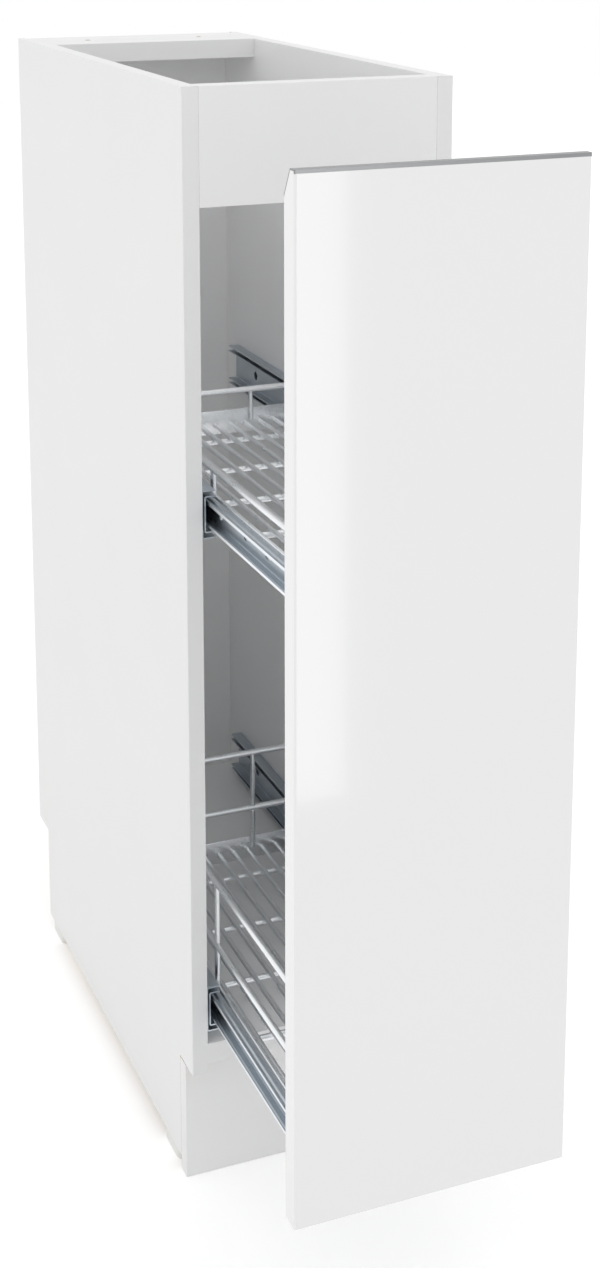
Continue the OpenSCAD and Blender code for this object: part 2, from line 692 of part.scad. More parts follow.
// Brackets between the baskets' side bars and the panel.
module front_brackets() {
    color("#c6c9cc") drawn(drawn_out) left_and_right() for (z = [lower_z, upper_z]) translate([0, 0, z])
        difference() {
            union() {
                translate([bar_in_x - bracket_w, -panel_gap, -bracket_h / 2])
                    cube([bracket_w, angle_t, bracket_h]);
                translate([bar_in_x - angle_t, -panel_gap, -bracket_arm_h / 2])
                    cube([angle_t, panel_gap + bracket_leg, bracket_arm_h]);
            }
            for (s = [-1, 1]) translate([bracket_screw_x, -panel_gap - cut, s * bracket_screw_z])
                rod_y(wood_screw_d + 2 * pin_gap, angle_t + 2 * cut);
            translate([bar_in_x - angle_t - cut, basket_screws_y[0], 0])
                rod_x(basket_screw_d + 2 * pin_gap, angle_t + 2 * cut);
        }
}
module front_bracket_screws() {
    color("#b4b8bc") drawn(drawn_out) left_and_right() for (z = [lower_z, upper_z], s = [-1, 1])
        translate([bracket_screw_x, -panel_gap + angle_t, z + s * bracket_screw_z])
            rotate([90, 0, 0]) pan_screw(wood_screw_d, angle_t + panel_screw_l - 0.5, wood_head_d);
}
module panel_bumpers() {
    color("#d8dcdf") drawn(drawn_out) left_and_right() for (z = [panel_z + 26, panel_top - bevel_h - 15])
        translate([side_mid_x, -panel_gap, z]) rod_y(bumper_d, panel_gap - bumper_gap);
}

left_side();
right_side();
bottom_board();
front_rail();
rear_rail();
back_panel();
plinth_board();
edge_bands();
plinth_angles();
plinth_screws();
side_glides();
cam_bolts();
cams();
dowels();
back_nails();
wall_angle();
wall_angle_screws();
outer_runner_upper_left();
outer_runner_upper_right();
outer_runner_lower_left();
outer_runner_lower_right();
runner_screws();
middle_runner_upper_left();
middle_runner_upper_right();
middle_runner_lower_left();
middle_runner_lower_right();
outer_ball_cages();
outer_balls();
inner_ball_cages();
inner_balls();
inner_runner_upper_left();
inner_runner_upper_right();
inner_runner_lower_left();
inner_runner_lower_right();
upper_basket();
lower_basket();
front_panel();
grip_strip();
front_brackets();
front_bracket_screws();
basket_screws();
panel_bumpers();
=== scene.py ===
"""Looks of a narrow pull-out base cabinet with two wire baskets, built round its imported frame.

Metres, +Z up, +Y towards the wall. Each piece stands for one node of the frame and moves with its body.
"""

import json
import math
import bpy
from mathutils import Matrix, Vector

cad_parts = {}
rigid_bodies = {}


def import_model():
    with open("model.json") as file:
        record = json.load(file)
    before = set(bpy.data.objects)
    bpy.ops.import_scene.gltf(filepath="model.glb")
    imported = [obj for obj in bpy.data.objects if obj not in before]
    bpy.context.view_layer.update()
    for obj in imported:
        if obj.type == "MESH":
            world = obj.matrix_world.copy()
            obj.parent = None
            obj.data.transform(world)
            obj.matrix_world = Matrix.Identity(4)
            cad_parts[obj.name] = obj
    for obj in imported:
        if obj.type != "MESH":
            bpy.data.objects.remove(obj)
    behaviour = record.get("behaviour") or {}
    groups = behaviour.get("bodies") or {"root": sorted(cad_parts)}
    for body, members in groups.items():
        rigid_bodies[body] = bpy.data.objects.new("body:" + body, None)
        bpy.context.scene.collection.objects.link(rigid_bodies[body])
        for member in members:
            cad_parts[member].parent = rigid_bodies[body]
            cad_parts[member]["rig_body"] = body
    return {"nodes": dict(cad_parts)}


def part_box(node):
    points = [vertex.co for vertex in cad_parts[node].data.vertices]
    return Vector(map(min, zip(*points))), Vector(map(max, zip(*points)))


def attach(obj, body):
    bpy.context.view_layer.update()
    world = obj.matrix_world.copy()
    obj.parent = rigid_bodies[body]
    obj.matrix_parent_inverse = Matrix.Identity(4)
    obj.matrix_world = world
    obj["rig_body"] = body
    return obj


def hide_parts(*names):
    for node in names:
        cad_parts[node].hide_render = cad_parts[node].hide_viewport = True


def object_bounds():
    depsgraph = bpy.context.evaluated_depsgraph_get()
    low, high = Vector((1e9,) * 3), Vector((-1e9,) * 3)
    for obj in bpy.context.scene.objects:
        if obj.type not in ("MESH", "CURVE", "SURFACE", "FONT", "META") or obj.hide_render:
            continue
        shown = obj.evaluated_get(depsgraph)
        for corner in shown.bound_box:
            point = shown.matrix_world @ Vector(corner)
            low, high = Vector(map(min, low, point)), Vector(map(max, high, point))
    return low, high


bl_info = {
    "name": "Pull-out base cabinet",
    "version": (1, 0, 0),
    "blender": (4, 5, 0),
    "location": "View3D > Sidebar > Cabinet",
    "description": "Builds the boards, the runners, the wire baskets and the fittings of a pull-out cabinet",
    "category": "Object",
}

import bmesh
import bpy
from mathutils import Matrix, Vector

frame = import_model()
CAD_LOW, CAD_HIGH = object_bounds()
NODES = frame["nodes"]

MM = 0.001
WELD = 0.01 * MM
QUARTER = math.pi / 2
ALONG_X, ALONG_Y, ALONG_Z = Vector((1, 0, 0)), Vector((0, 1, 0)), Vector((0, 0, 1))
AXES = (ALONG_X, ALONG_Y, ALONG_Z)
BOARD_ENDS = [ALONG_X, -ALONG_X]
RUNNERS = ("upper_left", "upper_right", "lower_left", "lower_right")

# Small sizes that the frame doesn't give

BACK_EDGE = 0.3 * MM
STRIP_CORNER, STRIP_EDGE = 0.8 * MM, 0.2 * MM
GROOVE_GAP = 0.02 * MM
BAR_EDGE = 0.6 * MM
RAIL_SEAT, END_SEAT = 2 * MM, 1.5 * MM
CROSS_WIRES = 5
TRACK_HALF, TRACK_DEPTH, TRACK_STEPS = 1.8 * MM, 0.9 * MM, 4
LIP_THICKNESS, LIP_HEIGHT = 0.5 * MM, 1.2 * MM
SLOT_WIDTH, SLOT_EXTRA = 4.6 * MM, 5 * MM
CORE_SHARE = 0.38
PAN_HEAD, RUNNER_SCREW_HEAD = 2 * MM, 1 * MM
GLIDE_NAIL = 14 * MM
PRESSED_FACE, PRESSED_HEEL = 240 * MM * MM, 15 * MM

# Places of the punched slots, as shares of a member's length from its front end
SLOTS = {"outer": (0.2, 0.36, 0.6, 0.72), "middle": (), "inner": (0.1, 0.2, 0.3, 0.5, 0.62, 0.74)}

# For each node of pan-head screws: its piece, and in millimetres the shank, the head, the pitch and the point
PAN_SCREWS = {
    "plinth_screws": ("plinth_wood_screws", 3.5, 7, 1.6, 2.5),
    "wall_angle_screws": ("wall_angle_wood_screws", 3.5, 7, 1.6, 2.5),
    "front_bracket_screws": ("bracket_wood_screws", 3.5, 7, 1.6, 2.5),
    "basket_screws": ("basket_machine_screws", 4, 6.5, 0.9, 0.6),
}

# Stage

CAMERA_PLACE = (-0.511, -1.3444, 0.953)
CAMERA_DOWN, CAMERA_YAW = math.radians(11.23), math.radians(22.08)
CAMERA_LENS = 55.4
CAMERA_SHIFT_Y = -0.288
WORLD_LIGHT = 0.93
FLOOR_SIZE, FLOOR_WHITE, FLOOR_GLOW = 14.0, 0.88, 0.3
LAMP_PLACE, LAMP_AIM, LAMP_SIZE, LAMP_POWER = (-2.2, -1.6, 1.9), (0, -0.1, 0.4), 1.8, 2
CARD_LEFT, CARD_RIGHT, CARD_FADE = 0.10, 0.262, 0.016
CARD_Y, CARD_TOP, CARD_LIGHT = -1.06, 1.0, 2.8
DIFFUSE_BOUNCES, MAX_BOUNCES = 12, 16


def linear(hex_colour):
    """The linear red, green and blue of an sRGB hex colour."""
    shares = [int(hex_colour[i : i + 2], 16) / 255 for i in (1, 3, 5)]
    return tuple(c / 12.92 if c <= 0.04045 else ((c + 0.055) / 1.055) ** 2.4 for c in shares)


# Sizes and colours that a user may change


def length(name, description, default):
    return bpy.props.FloatProperty(name=name, description=description, default=default, unit="LENGTH")


def colour(name, description, default):
    return bpy.props.FloatVectorProperty(
        name=name, description=description, default=linear(default), subtype="COLOR", min=0, max=1
    )


class CabinetSizes(bpy.types.PropertyGroup):
    """Roundings and wire sizes of the visible pieces."""

    board_edge: length("Board edge", "Rounding of a melamine board's edges", 0.4 * MM)
    band_edge: length("Band edge", "Rounding of a plastic edge band", 0.5 * MM)
    panel_edge: length("Panel edge", "Rounding of the front panel's edges", 1.5 * MM)
    bend: length("Bend", "Outer bend radius of the pressed angles and brackets", 2.2 * MM)
    bar_thickness: length("Bar thickness", "Thickness of a basket's flat bars", 3 * MM)
    bar_height: length("Bar height", "Height of a basket's flat bars", 20 * MM)
    basket_front: length("Basket front", "From the ends of the side bars to the front end bar", 28 * MM)
    rail_wire: length("Rail wire", "Diameter of the rail wires", 5 * MM)
    rail_bend: length("Rail bend", "Radius of a rail's corners, to the middle of the wire", 12 * MM)
    upright_wire: length("Upright wire", "Diameter of the uprights", 4 * MM)
    floor_wire: length("Floor wire", "Diameter of the lengthwise floor wires", 4 * MM)
    cross_wire: length("Cross wire", "Diameter of the cross wires", 5 * MM)
    floor_pitch: length("Floor pitch", "Distance between floor wires", 13 * MM)
    upper_rail: length("Upper rail", "Height of the upper basket's rail above its runners", 26 * MM)
    lower_rail_1: length("Lower middle rail", "Height of the lower basket's middle rail", 37 * MM)
    lower_rail_2: length("Lower top rail", "Height of the lower basket's top rail", 87 * MM)


class CabinetColours(bpy.types.PropertyGroup):
    """Main colours of the finishes."""

    melamine: colour("Melamine", "White melamine of the boards", "#F2F2F2")
    front: colour("Front", "White gloss film of the front panel", "#F4F4F4")
    band: colour("Band", "Plastic edge bands", "#EDEDED")
    chrome: colour("Chrome", "Plated wires", "#F0F2F4")
    runner: colour("Runner", "Zinc-plated runner steel", "#C3CBD2")
    strip: colour("Strip", "Anodised strip along the panel's top", "#929394")


# Mesh tools


def copied(node):
    """A node's own mesh with its loose triangles merged and its flat faces made whole."""
    shape = bmesh.new()
    shape.from_mesh(NODES[node].data)
    bmesh.ops.remove_doubles(shape, verts=shape.verts, dist=WELD)
    flat = math.radians(1)
    bmesh.ops.dissolve_limit(
        shape, angle_limit=flat, verts=shape.verts, edges=shape.edges, delimit={"NORMAL"}
    )
    return shape


def rounded(shape, edges, width, segments=3):
    """Rounds the given edges."""
    bmesh.ops.bevel(
        shape,
        geom=edges,
        offset=width,
        offset_type="OFFSET",
        segments=segments,
        profile=0.5,
        affect="EDGES",
        material=-1,
        clamp_overlap=True,
    )


def long_sharp_edges(shape, shortest=5 * MM):
    """The outer corners of a board: long edges where two flat faces meet at a right angle or near it."""
    long = [e for e in shape.edges if len(e.link_faces) == 2 and e.calc_length() > shortest]
    return [e for e in long if e.calc_face_angle_signed() > math.radians(30)]


def sliced(shape, point, normal, clear_outer=False):
    """Cuts the shape along a plane and returns the new edges."""
    every = shape.verts[:] + shape.edges[:] + shape.faces[:]
    cut = bmesh.ops.bisect_plane(
        shape, geom=every, plane_co=point, plane_no=normal, clear_outer=clear_outer
    )
    return [g for g in cut["geom_cut"] if isinstance(g, bmesh.types.BMEdge)]


def joined(shape, mesh, place):
    """Adds a copy of a mesh to the shape, moved to its place."""
    before = len(shape.verts)
    shape.from_mesh(mesh)
    shape.verts.ensure_lookup_table()
    bmesh.ops.transform(shape, matrix=place, verts=shape.verts[before:])


def to_mesh(shape, name="pattern"):
    """Turns a shape into a mesh and frees it."""
    mesh = bpy.data.meshes.new(name)
    shape.to_mesh(mesh)
    shape.free()
    return mesh


def cut_away(shape, cutter):
    """The shape with the cutter's solids taken out of it; they may cross each other."""
    body = bpy.data.objects.new("body", to_mesh(shape))
    tool = bpy.data.objects.new("tool", to_mesh(cutter))
    for loose in (body, tool):
        bpy.context.scene.collection.objects.link(loose)
    cut = body.modifiers.new("Cut", "BOOLEAN")
    cut.operation, cut.solver, cut.object, cut.use_self = "DIFFERENCE", "EXACT", tool, True
    result = bmesh.new()
    result.from_object(body, bpy.context.evaluated_depsgraph_get())
    for loose in (body, tool):
        mesh = loose.data
        bpy.data.objects.remove(loose)
        bpy.data.meshes.remove(mesh)
    if not result.faces:
        raise RuntimeError("the cut left nothing of the shape")
    return result


def turned_to(axis, place=(0, 0, 0)):
    """The matrix that turns +Z to an axis and moves the origin to a place."""
    turn = ALONG_Z.rotation_difference(Vector(axis)).to_matrix().to_4x4()
    return Matrix.Translation(place) @ turn


def box_shape(shape, low, high):
    """Adds a box between two corners."""
    low, high = Vector(low), Vector(high)
    place = Matrix.Translation((low + high) / 2) @ Matrix.Diagonal((*(high - low), 1))
    bmesh.ops.create_cube(shape, size=1, matrix=place)


def rod(shape, start, end, diameter, sides=16):
    """Adds a closed round rod between two points."""
    start, end = Vector(start), Vector(end)
    bmesh.ops.create_cone(
        shape,
        cap_ends=True,
        segments=sides,
        radius1=diameter / 2,
        radius2=diameter / 2,
        depth=(end - start).length,
        matrix=turned_to(end - start, (start + end) / 2),
    )


def turned(shape, profile, sides=32):
    """Adds a turned solid: a profile of (radius, height) points spun round the Z axis."""
    points = [shape.verts.new((radius, 0, height)) for radius, height in profile]
    edges = [shape.edges.new(pair) for pair in zip(points, points[1:])]
    bmesh.ops.spin(
        shape,
        geom=points + edges,
        cent=(0, 0, 0),
        axis=ALONG_Z,
        angle=2 * math.pi,
        steps=sides,
        use_merge=True,
        use_duplicate=False,
    )
    bmesh.ops.remove_doubles(shape, verts=shape.verts, dist=WELD)
    bmesh.ops.recalc_face_normals(shape, faces=shape.faces)


def dome(radius, height, start, steps=5):
    """Profile points of a domed end, from the rim at the start height out to the pole."""
    angles = [QUARTER * i / steps for i in range(steps + 1)]
    return [(radius * math.cos(a), start + height * math.sin(a)) for a in angles]


def thread(shape, core, crest, pitch, start, end, steps=12):
    """Adds a screw thread: a three-sided ridge wound round the Z axis."""
    turns = (end - start) / pitch
    half = 0.42 * pitch
    ridge = [(core * 0.9, -half), (crest, 0), (core * 0.9, half)]
    first = shape.faces.new([shape.verts.new((radius, 0, start + height)) for radius, height in ridge])
    count = max(1, round(steps * turns))
    bmesh.ops.spin(
        shape,
        geom=[first],
        cent=(0, 0, 0),
        dvec=(0, 0, (end - start) / count),
        axis=ALONG_Z,
        angle=2 * math.pi * turns,
        steps=count,
        use_merge=False,
        use_duplicate=False,
    )
    bmesh.ops.recalc_face_normals(shape, faces=shape.faces)


def low_and_high(points):
    low = Vector([min(p[i] for p in points) for i in range(3)])
    high = Vector([max(p[i] for p in points) for i in range(3)])
    return low, high


def solids_of(node):
    """The separate solids of a node, each as the list of its corner points."""
    shape = bmesh.new()
    shape.from_mesh(NODES[node].data)
    bmesh.ops.remove_doubles(shape, verts=shape.verts, dist=WELD)
    left, found = set(shape.verts), []
    while left:
        reached, open_ends = set(), [left.pop()]
        while open_ends:
            corner = open_ends.pop()
            reached.add(corner)
            for edge in corner.link_edges:
                other = edge.other_vert(corner)
                if other in left:
                    left.remove(other)
                    open_ends.append(other)
        found.append([corner.co.copy() for corner in reached])
    shape.free()
    return sorted(found, key=lambda points: tuple(round(c, 5) for c in low_and_high(points)[0]))


def middle_of(points):
    """The middle of the box round some points."""
    low, high = low_and_high(points)
    return (low + high) / 2


def low_end(points, axis):
    """The middle of the box round some points, moved to the box's low face on an axis."""
    end = middle_of(points)
    end[axis] = low_and_high(points)[0][axis]
    return end


def long_axis(size):
    """The axis of a turned solid: the one whose two other sizes are the most alike."""
    return min(range(3), key=lambda i: abs(size[i - 1] - size[i - 2]))


def screw_place(points, head_height):
    """Where a headed screw lies: the matrix from its own axis, with the head's seat at Z = 0."""
    low, high = low_and_high(points)
    axis = long_axis(high - low)
    middle = (low + high) / 2
    reach = [math.dist(p, middle + (p - middle).project(AXES[axis])) for p in points]
    rim = [p[axis] for p, r in zip(points, reach) if r > 0.97 * max(reach)]
    head_first = sum(rim) / len(rim) < middle[axis]
    direction = AXES[axis] if head_first else -AXES[axis]
    seat = middle.copy()
    seat[axis] = low[axis] if head_first else high[axis]
    return turned_to(direction, seat + direction * head_height)


# Materials


def fill(node, values):
    """Fills a node's inputs with values or links."""
    for name, value in values.items():
        if isinstance(value, bpy.types.NodeSocket):
            node.id_data.links.new(value, node.inputs[name])
        else:
            node.inputs[name].default_value = value


def add_node(tree, kind, inputs=None, **settings):
    """Adds a node, gives it its settings, and fills its inputs with values or links."""
    node = tree.nodes.new(kind)
    for name, value in settings.items():
        setattr(node, name, value)
    fill(node, inputs or {})
    return node


def shades(base, *factors):
    """A colour made darker or paler by each factor."""
    return [tuple(min(1.0, c * factor) for c in base) for factor in factors]


def grain(tree, place, size, detail=2.0, stretch=(1, 1, 1), roughness=0.5):
    """A soft pattern with patches of about the given size in metres.

    A stretch below 1 draws the patches out along its axis.
    """
    place = add_node(tree, "ShaderNodeMapping", {"Vector": place, "Scale": stretch}).outputs["Vector"]
    inputs = {"Vector": place, "Scale": 1 / size, "Detail": detail, "Roughness": roughness}
    return add_node(tree, "ShaderNodeTexNoise", inputs).outputs["Fac"]


def cells(tree, place, size, stretch=(1, 1, 1)):
    """A pattern of small cells: a random tone for each, and how far a point is from its cell's middle."""
    place = add_node(tree, "ShaderNodeMapping", {"Vector": place, "Scale": stretch}).outputs["Vector"]
    made = add_node(tree, "ShaderNodeTexVoronoi", {"Vector": place, "Scale": 1 / size, "Randomness": 1.0})
    tone = add_node(tree, "ShaderNodeSeparateColor", {"Color": made.outputs["Color"]}).outputs["Red"]
    return tone, made.outputs["Distance"]


def dressed(shader, colour=None, fleck=None, roughness=0.5, relief=None, **even):
    """Gives a shader its colour, its roughness, its relief, and values that are even all over.

    A colour is a pattern and the two colours that it mixes.
    A fleck is a pattern and the colour that it lays over them, with the least and the greatest share of that
    colour, and the values of the pattern that give them.
    A roughness is a number, or a pattern with the two values that it runs between.
    A relief is a pattern and its depth in metres.
    """
    tree = shader.id_data
    values = {name.replace("_", " "): value for name, value in even.items()}
    # Sockets 0, 6 and 7 of a Mix node are its share and its two colours, and output 2 is the colour made
    if colour:
        pattern, first, second = colour
        inputs = {0: pattern, 6: (*first, 1), 7: (*second, 1)}
        values["Base Color"] = add_node(tree, "ShaderNodeMix", inputs, data_type="RGBA").outputs[2]
    if fleck:
        pattern, third, *limits = fleck
        inputs = dict(zip(("To Min", "To Max", "From Min", "From Max"), limits))
        share = add_node(tree, "ShaderNodeMapRange", {"Value": pattern, **inputs}).outputs["Result"]
        inputs = {0: share, 6: values["Base Color"], 7: (*third, 1)}
        values["Base Color"] = add_node(tree, "ShaderNodeMix", inputs, data_type="RGBA").outputs[2]
    if isinstance(roughness, tuple):
        inputs = dict(zip(("Value", "To Min", "To Max"), roughness))
        roughness = add_node(tree, "ShaderNodeMapRange", inputs).outputs["Result"]
    values["Roughness"] = roughness
    if relief:
        inputs = dict(zip(("Height", "Distance"), relief))
        values["Normal"] = add_node(tree, "ShaderNodeBump", {**inputs, "Strength": 1.0}).outputs["Normal"]
    fill(shader, values)


def white_melamine(tree, shader, place, base):
    """Melamine-faced chipboard: paper pressed with resin against a lightly pearled plate.

    The eye gets a matt white with a soft, broad sheen. The pearl is about 1 mm across.
    """
    cloud = grain(tree, place, 90 * MM)
    pearl = grain(tree, place, 1.1 * MM, 3.0)
    dressed(shader, (cloud, *shades(base, 0.985, 1.01)), None, (pearl, 0.38, 0.5), (pearl, 0.02 * MM))


def raw_chipboard(tree, shader, place, dark, pale, gap):
    """Sawn chipboard edge: glued softwood chips, 1 to 4 mm long, lying flat in the board."""
    tone, distance = cells(tree, place, 1.6 * MM, (1, 1, 0.5))
    between = (distance, gap, 0.0, 0.8, 0.45, 0.95)
    dressed(shader, (tone, dark, pale), between, 0.85, (distance, -0.12 * MM))


def white_hardboard(tree, shader, place, base):
    """Lacquered face of the thin back: matt white with a faint trace of fibres."""
    fibres = grain(tree, place, 1.6 * MM, 4.0, (1, 1, 0.35))
    dressed(shader, (fibres, *shades(base, 0.955, 0.985)), None, 0.55, (fibres, 0.015 * MM))


def raw_hardboard(tree, shader, place, dark, pale, bundle):
    """Wood-fibre board as it leaves the press: brown, felted, with darker fibre bundles."""
    cloud = grain(tree, place, 40 * MM, 3.0)
    fibres = grain(tree, place, 1.2 * MM, 5.0, (1, 1, 0.3), 0.7)
    bundles = (fibres, bundle, 0.0, 0.55, 0.52, 0.75)
    dressed(shader, (cloud, dark, pale), bundles, 0.7, (fibres, 0.06 * MM))


def gloss_film(tree, shader, place, base):
    """High-gloss film pressed over fibreboard.

    The eye gets a clear reflection with a faint waviness, some 7 mm from crest to crest.
    """
    cloud = grain(tree, place, 160 * MM)
    waves = grain(tree, place, 7 * MM, 1.0)
    even = {"Coat_Weight": 0.6, "Coat_Roughness": 0.04}
    dressed(shader, (cloud, *shades(base, 0.99, 1.0)), None, 0.13, (waves, 0.006 * MM), **even)


def plastic(tree, shader, place, base, roughness, size, depth):
    """Moulded or rolled plastic: even colour with a fine satin grain from the tool."""
    satin = grain(tree, place, size)
    sheen = (satin, roughness - 0.05, roughness + 0.05)
    dressed(shader, (satin, *shades(base, 0.985, 1.01)), None, sheen, (satin, depth), IOR=1.5)


def powder_coat(tree, shader, place, base):
    """White powder coat baked on sheet steel: satin, with the faint dimples of the melted powder.

    The dimples are about 2 mm across.
    """
    dimples = grain(tree, place, 2 * MM, 1.0)
    dressed(shader, (dimples, *shades(base, 0.96, 0.98)), None, 0.36, (dimples, 0.03 * MM))


def brushed_aluminium(tree, shader, place, base):
    """Anodised aluminium strip, brushed along its length: dark satin with fine lines along X."""
    lines = grain(tree, place, 0.35 * MM, 3.0, (0.02, 1, 1))
    sheen = (lines, 0.28, 0.42)
    dressed(shader, (lines, *shades(base, 0.88, 1.1)), None, sheen, (lines, 0.006 * MM), Metallic=1.0)


def rolled_zinc(tree, shader, place, base, roughness):
    """Cold-rolled steel with a thin bright zinc plating.

    The eye gets a cool grey with streaks along the rolling direction, Y, and cloudy patches.
    """
    dull, cloudy, clear = shades(base, 0.82, 0.93, 1.06)
    streaks = grain(tree, place, 0.8 * MM, 3.0, (1, 0.03, 1))
    cloud = grain(tree, place, 22 * MM)
    sheen = (streaks, roughness - 0.06, roughness + 0.08)
    streaked = (streaks, dull, 0, 0.4)
    dressed(shader, (cloud, cloudy, clear), streaked, sheen, (streaks, 0.005 * MM), Metallic=1.0)


def pressed_zinc(tree, shader, place, base, roughness):
    """Pressed and barrel-plated steel: cool grey with small spangles and a soft sheen."""
    spangle, _ = cells(tree, place, 3.5 * MM)
    skin = grain(tree, place, 0.9 * MM, 3.0)
    sheen = (spangle, roughness - 0.07, roughness + 0.07)
    dressed(shader, (spangle, *shades(base, 0.9, 1.08)), None, sheen, (skin, 0.01 * MM), Metallic=1.0)


def cast_zinc(tree, shader, place, dark, pale):
    """Die-cast zinc: dull grey skin, faintly rough from the mould."""
    skin = grain(tree, place, 0.6 * MM, 4.0)
    dressed(shader, (skin, dark, pale), None, 0.48, (skin, 0.05 * MM), Metallic=1.0)


def chrome(tree, shader, place, base):
    """Satin chrome plating over drawn wire: a pale, soft mirror with the wire's faint draw marks."""
    marks = grain(tree, place, 1.5 * MM, 2.0, (1, 0.15, 1))
    sheen = (marks, 0.24, 0.34)
    dressed(shader, (marks, *shades(base, 0.95, 1.03)), None, sheen, (marks, 0.004 * MM), Metallic=1.0)


def polished_steel(tree, shader, place, dark, pale):
    """Hardened bearing balls: ground and polished, dark mirror with a thin film of grease."""
    film = grain(tree, place, 1.2 * MM, 1.0)
    dressed(shader, (film, dark, pale), None, (film, 0.05, 0.16), Metallic=1.0)


def beech(tree, shader, place, dark, pale, fleck):
    """Beech dowel: pale pinkish wood with fine lengthwise grain and short dark flecks."""
    lengthwise = grain(tree, place, 0.9 * MM, 4.0, (0.08, 1, 1))
    flecks = (grain(tree, place, 0.5 * MM, 1.0, (0.25, 1, 1)), fleck, 0.0, 0.6, 0.62, 0.7)
    dressed(shader, (lengthwise, dark, pale), flecks, 0.62, (lengthwise, 0.04 * MM))


def clear_rubber(tree, shader, place, base):
    """Clear polyurethane: soft, slightly cloudy, with a satin skin."""
    skin = grain(tree, place, 1.5 * MM, 1.0)
    even = {"Base_Color": (*base, 1), "Transmission_Weight": 0.85, "IOR": 1.48}
    dressed(shader, None, None, (skin, 0.16, 0.26), (skin, 0.01 * MM), **even)


# For each finish: the material's name, what dresses it, and its colours and values
FINISHES = {
    "melamine": ("white_melamine_board", white_melamine, "melamine"),
    "chipboard": ("raw_chipboard_edge", raw_chipboard, "#C4A171", "#DCC59C", "#8F6E48"),
    "hardboard_white": ("white_lacquered_hardboard", white_hardboard, "melamine"),
    "hardboard_raw": ("raw_brown_hardboard", raw_hardboard, "#A98357", "#B8946A", "#6E4E2E"),
    "gloss": ("white_gloss_film", gloss_film, "front"),
    "band": ("abs_edge_band", plastic, "band", 0.38, 0.7 * MM, 0.012 * MM),
    "nylon": ("moulded_nylon", plastic, "#EDEDEA", 0.42, 0.5 * MM, 0.02 * MM),
    "coated": ("white_powder_coated_steel", powder_coat, "melamine"),
    "aluminium": ("anodised_aluminium_strip", brushed_aluminium, "strip"),
    "runner": ("zinc_plated_runner_steel", rolled_zinc, "runner", 0.42),
    # Paler and smoother than the runner steel: a painted highlight along the flanges' free edges
    "lip": ("burnished_runner_lip", rolled_zinc, "#ECF0F4", 0.3),
    "cage": ("rolled_cage_steel", rolled_zinc, "#8F979E", 0.36),
    "pressed": ("zinc_plated_pressed_steel", pressed_zinc, "#BCC2C7", 0.34),
    "screw": ("zinc_plated_screw_steel", pressed_zinc, "#B4BABF", 0.28),
    "cast": ("die_cast_zinc", cast_zinc, "#96999C", "#B4B7BA"),
    "chrome": ("satin_chrome_wire", chrome, "chrome"),
    "ball": ("polished_bearing_steel", polished_steel, "#B9BDC1", "#CDD0D3"),
    "beech": ("beech_wood", beech, "#C99F6E", "#DDB98C", "#8E6238"),
    "rubber": ("clear_polyurethane", clear_rubber, "#F2F4F5"),
}


def value_of(value):
    """The colour of a hex text or of a user's colour; a number stays as it is."""
    if not isinstance(value, str):
        return value
    if value.startswith("#"):
        return linear(value)
    return tuple(getattr(bpy.context.scene.cabinet_colours, value))


def finish(name):
    """The material of a finish, made when it is first asked for."""
    label, dress, *values = FINISHES[name]
    material = bpy.data.materials.get(label)
    if material is None:
        material = bpy.data.materials.new(label)
        material.use_nodes = True
        tree = material.node_tree
        place = add_node(tree, "ShaderNodeTexCoord").outputs["Object"]
        dress(tree, tree.nodes["Principled BSDF"], place, *[value_of(v) for v in values])
    return material


# Pieces


def make_piece(shape, name, node, slot, *finishes, crease=35, even=False):
    """Makes the object that stands for a node, on the node's body, with its finishes. The slot is not used.
    """
    mesh = to_mesh(shape, name)
    for f in finishes:
        mesh.materials.append(finish(f))
    mesh.shade_smooth()
    mesh.set_sharp_from_angle(angle=math.radians(crease))
    piece = bpy.data.objects.new(name, mesh)
    bpy.context.scene.collection.objects.link(piece)
    if even:
        even_out = piece.modifiers.new("Flat faces", "WEIGHTED_NORMAL")
        even_out.weight, even_out.keep_sharp = 100, True
    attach(piece, NODES[node]["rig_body"])
    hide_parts(node)


def board(node, name, edge, raw_ways, slot="white_melamine", face="melamine", core="chipboard"):
    """A board with softly broken edges; the faces that look a raw way, and all bores, show the core."""
    shape = copied(node)
    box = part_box(node)
    for f in shape.faces:
        middle = f.calc_center_median()
        at_side = [any(abs(middle[i] - corner[i]) < WELD for corner in box) for i in range(3)]
        on_skin = any(at_side[i] and abs(f.normal[i]) > 0.99 for i in range(3))
        f.material_index = 0 if on_skin else 1
    rounded(shape, long_sharp_edges(shape), edge, 2)
    for f in shape.faces:
        if any(f.normal.dot(way) > 0.99 for way in raw_ways):
            f.material_index = 1
    make_piece(shape, name, node, slot, face, core, even=True)


class CABINET_OT_side_boards(bpy.types.Operator):
    """Two melamine side boards with their notches and rebates; rear and lower edges are raw"""

    bl_idname = "cabinet.side_boards"
    bl_label = "Side boards"

    def execute(self, context):
        edge = context.scene.cabinet_sizes.board_edge
        for side in ("left", "right"):
            board(f"{side}_side", f"side_board_{side}", edge, [ALONG_Y, -ALONG_Z])
        return {"FINISHED"}


class CABINET_OT_inner_boards(bpy.types.Operator):
    """Bottom board, upright front rail, flat rear rail and plinth board"""

    bl_idname = "cabinet.inner_boards"
    bl_label = "Boards and rails"

    def execute(self, context):
        edge = context.scene.cabinet_sizes.board_edge
        board("bottom_board", "bottom_shelf_board", edge, [ALONG_Y] + BOARD_ENDS)
        board("front_rail", "upright_front_rail", edge, BOARD_ENDS)
        board("rear_rail", "flat_rear_rail", edge, [ALONG_Y] + BOARD_ENDS)
        board("plinth_board", "toe_kick_board", edge, [-ALONG_Z])
        return {"FINISHED"}


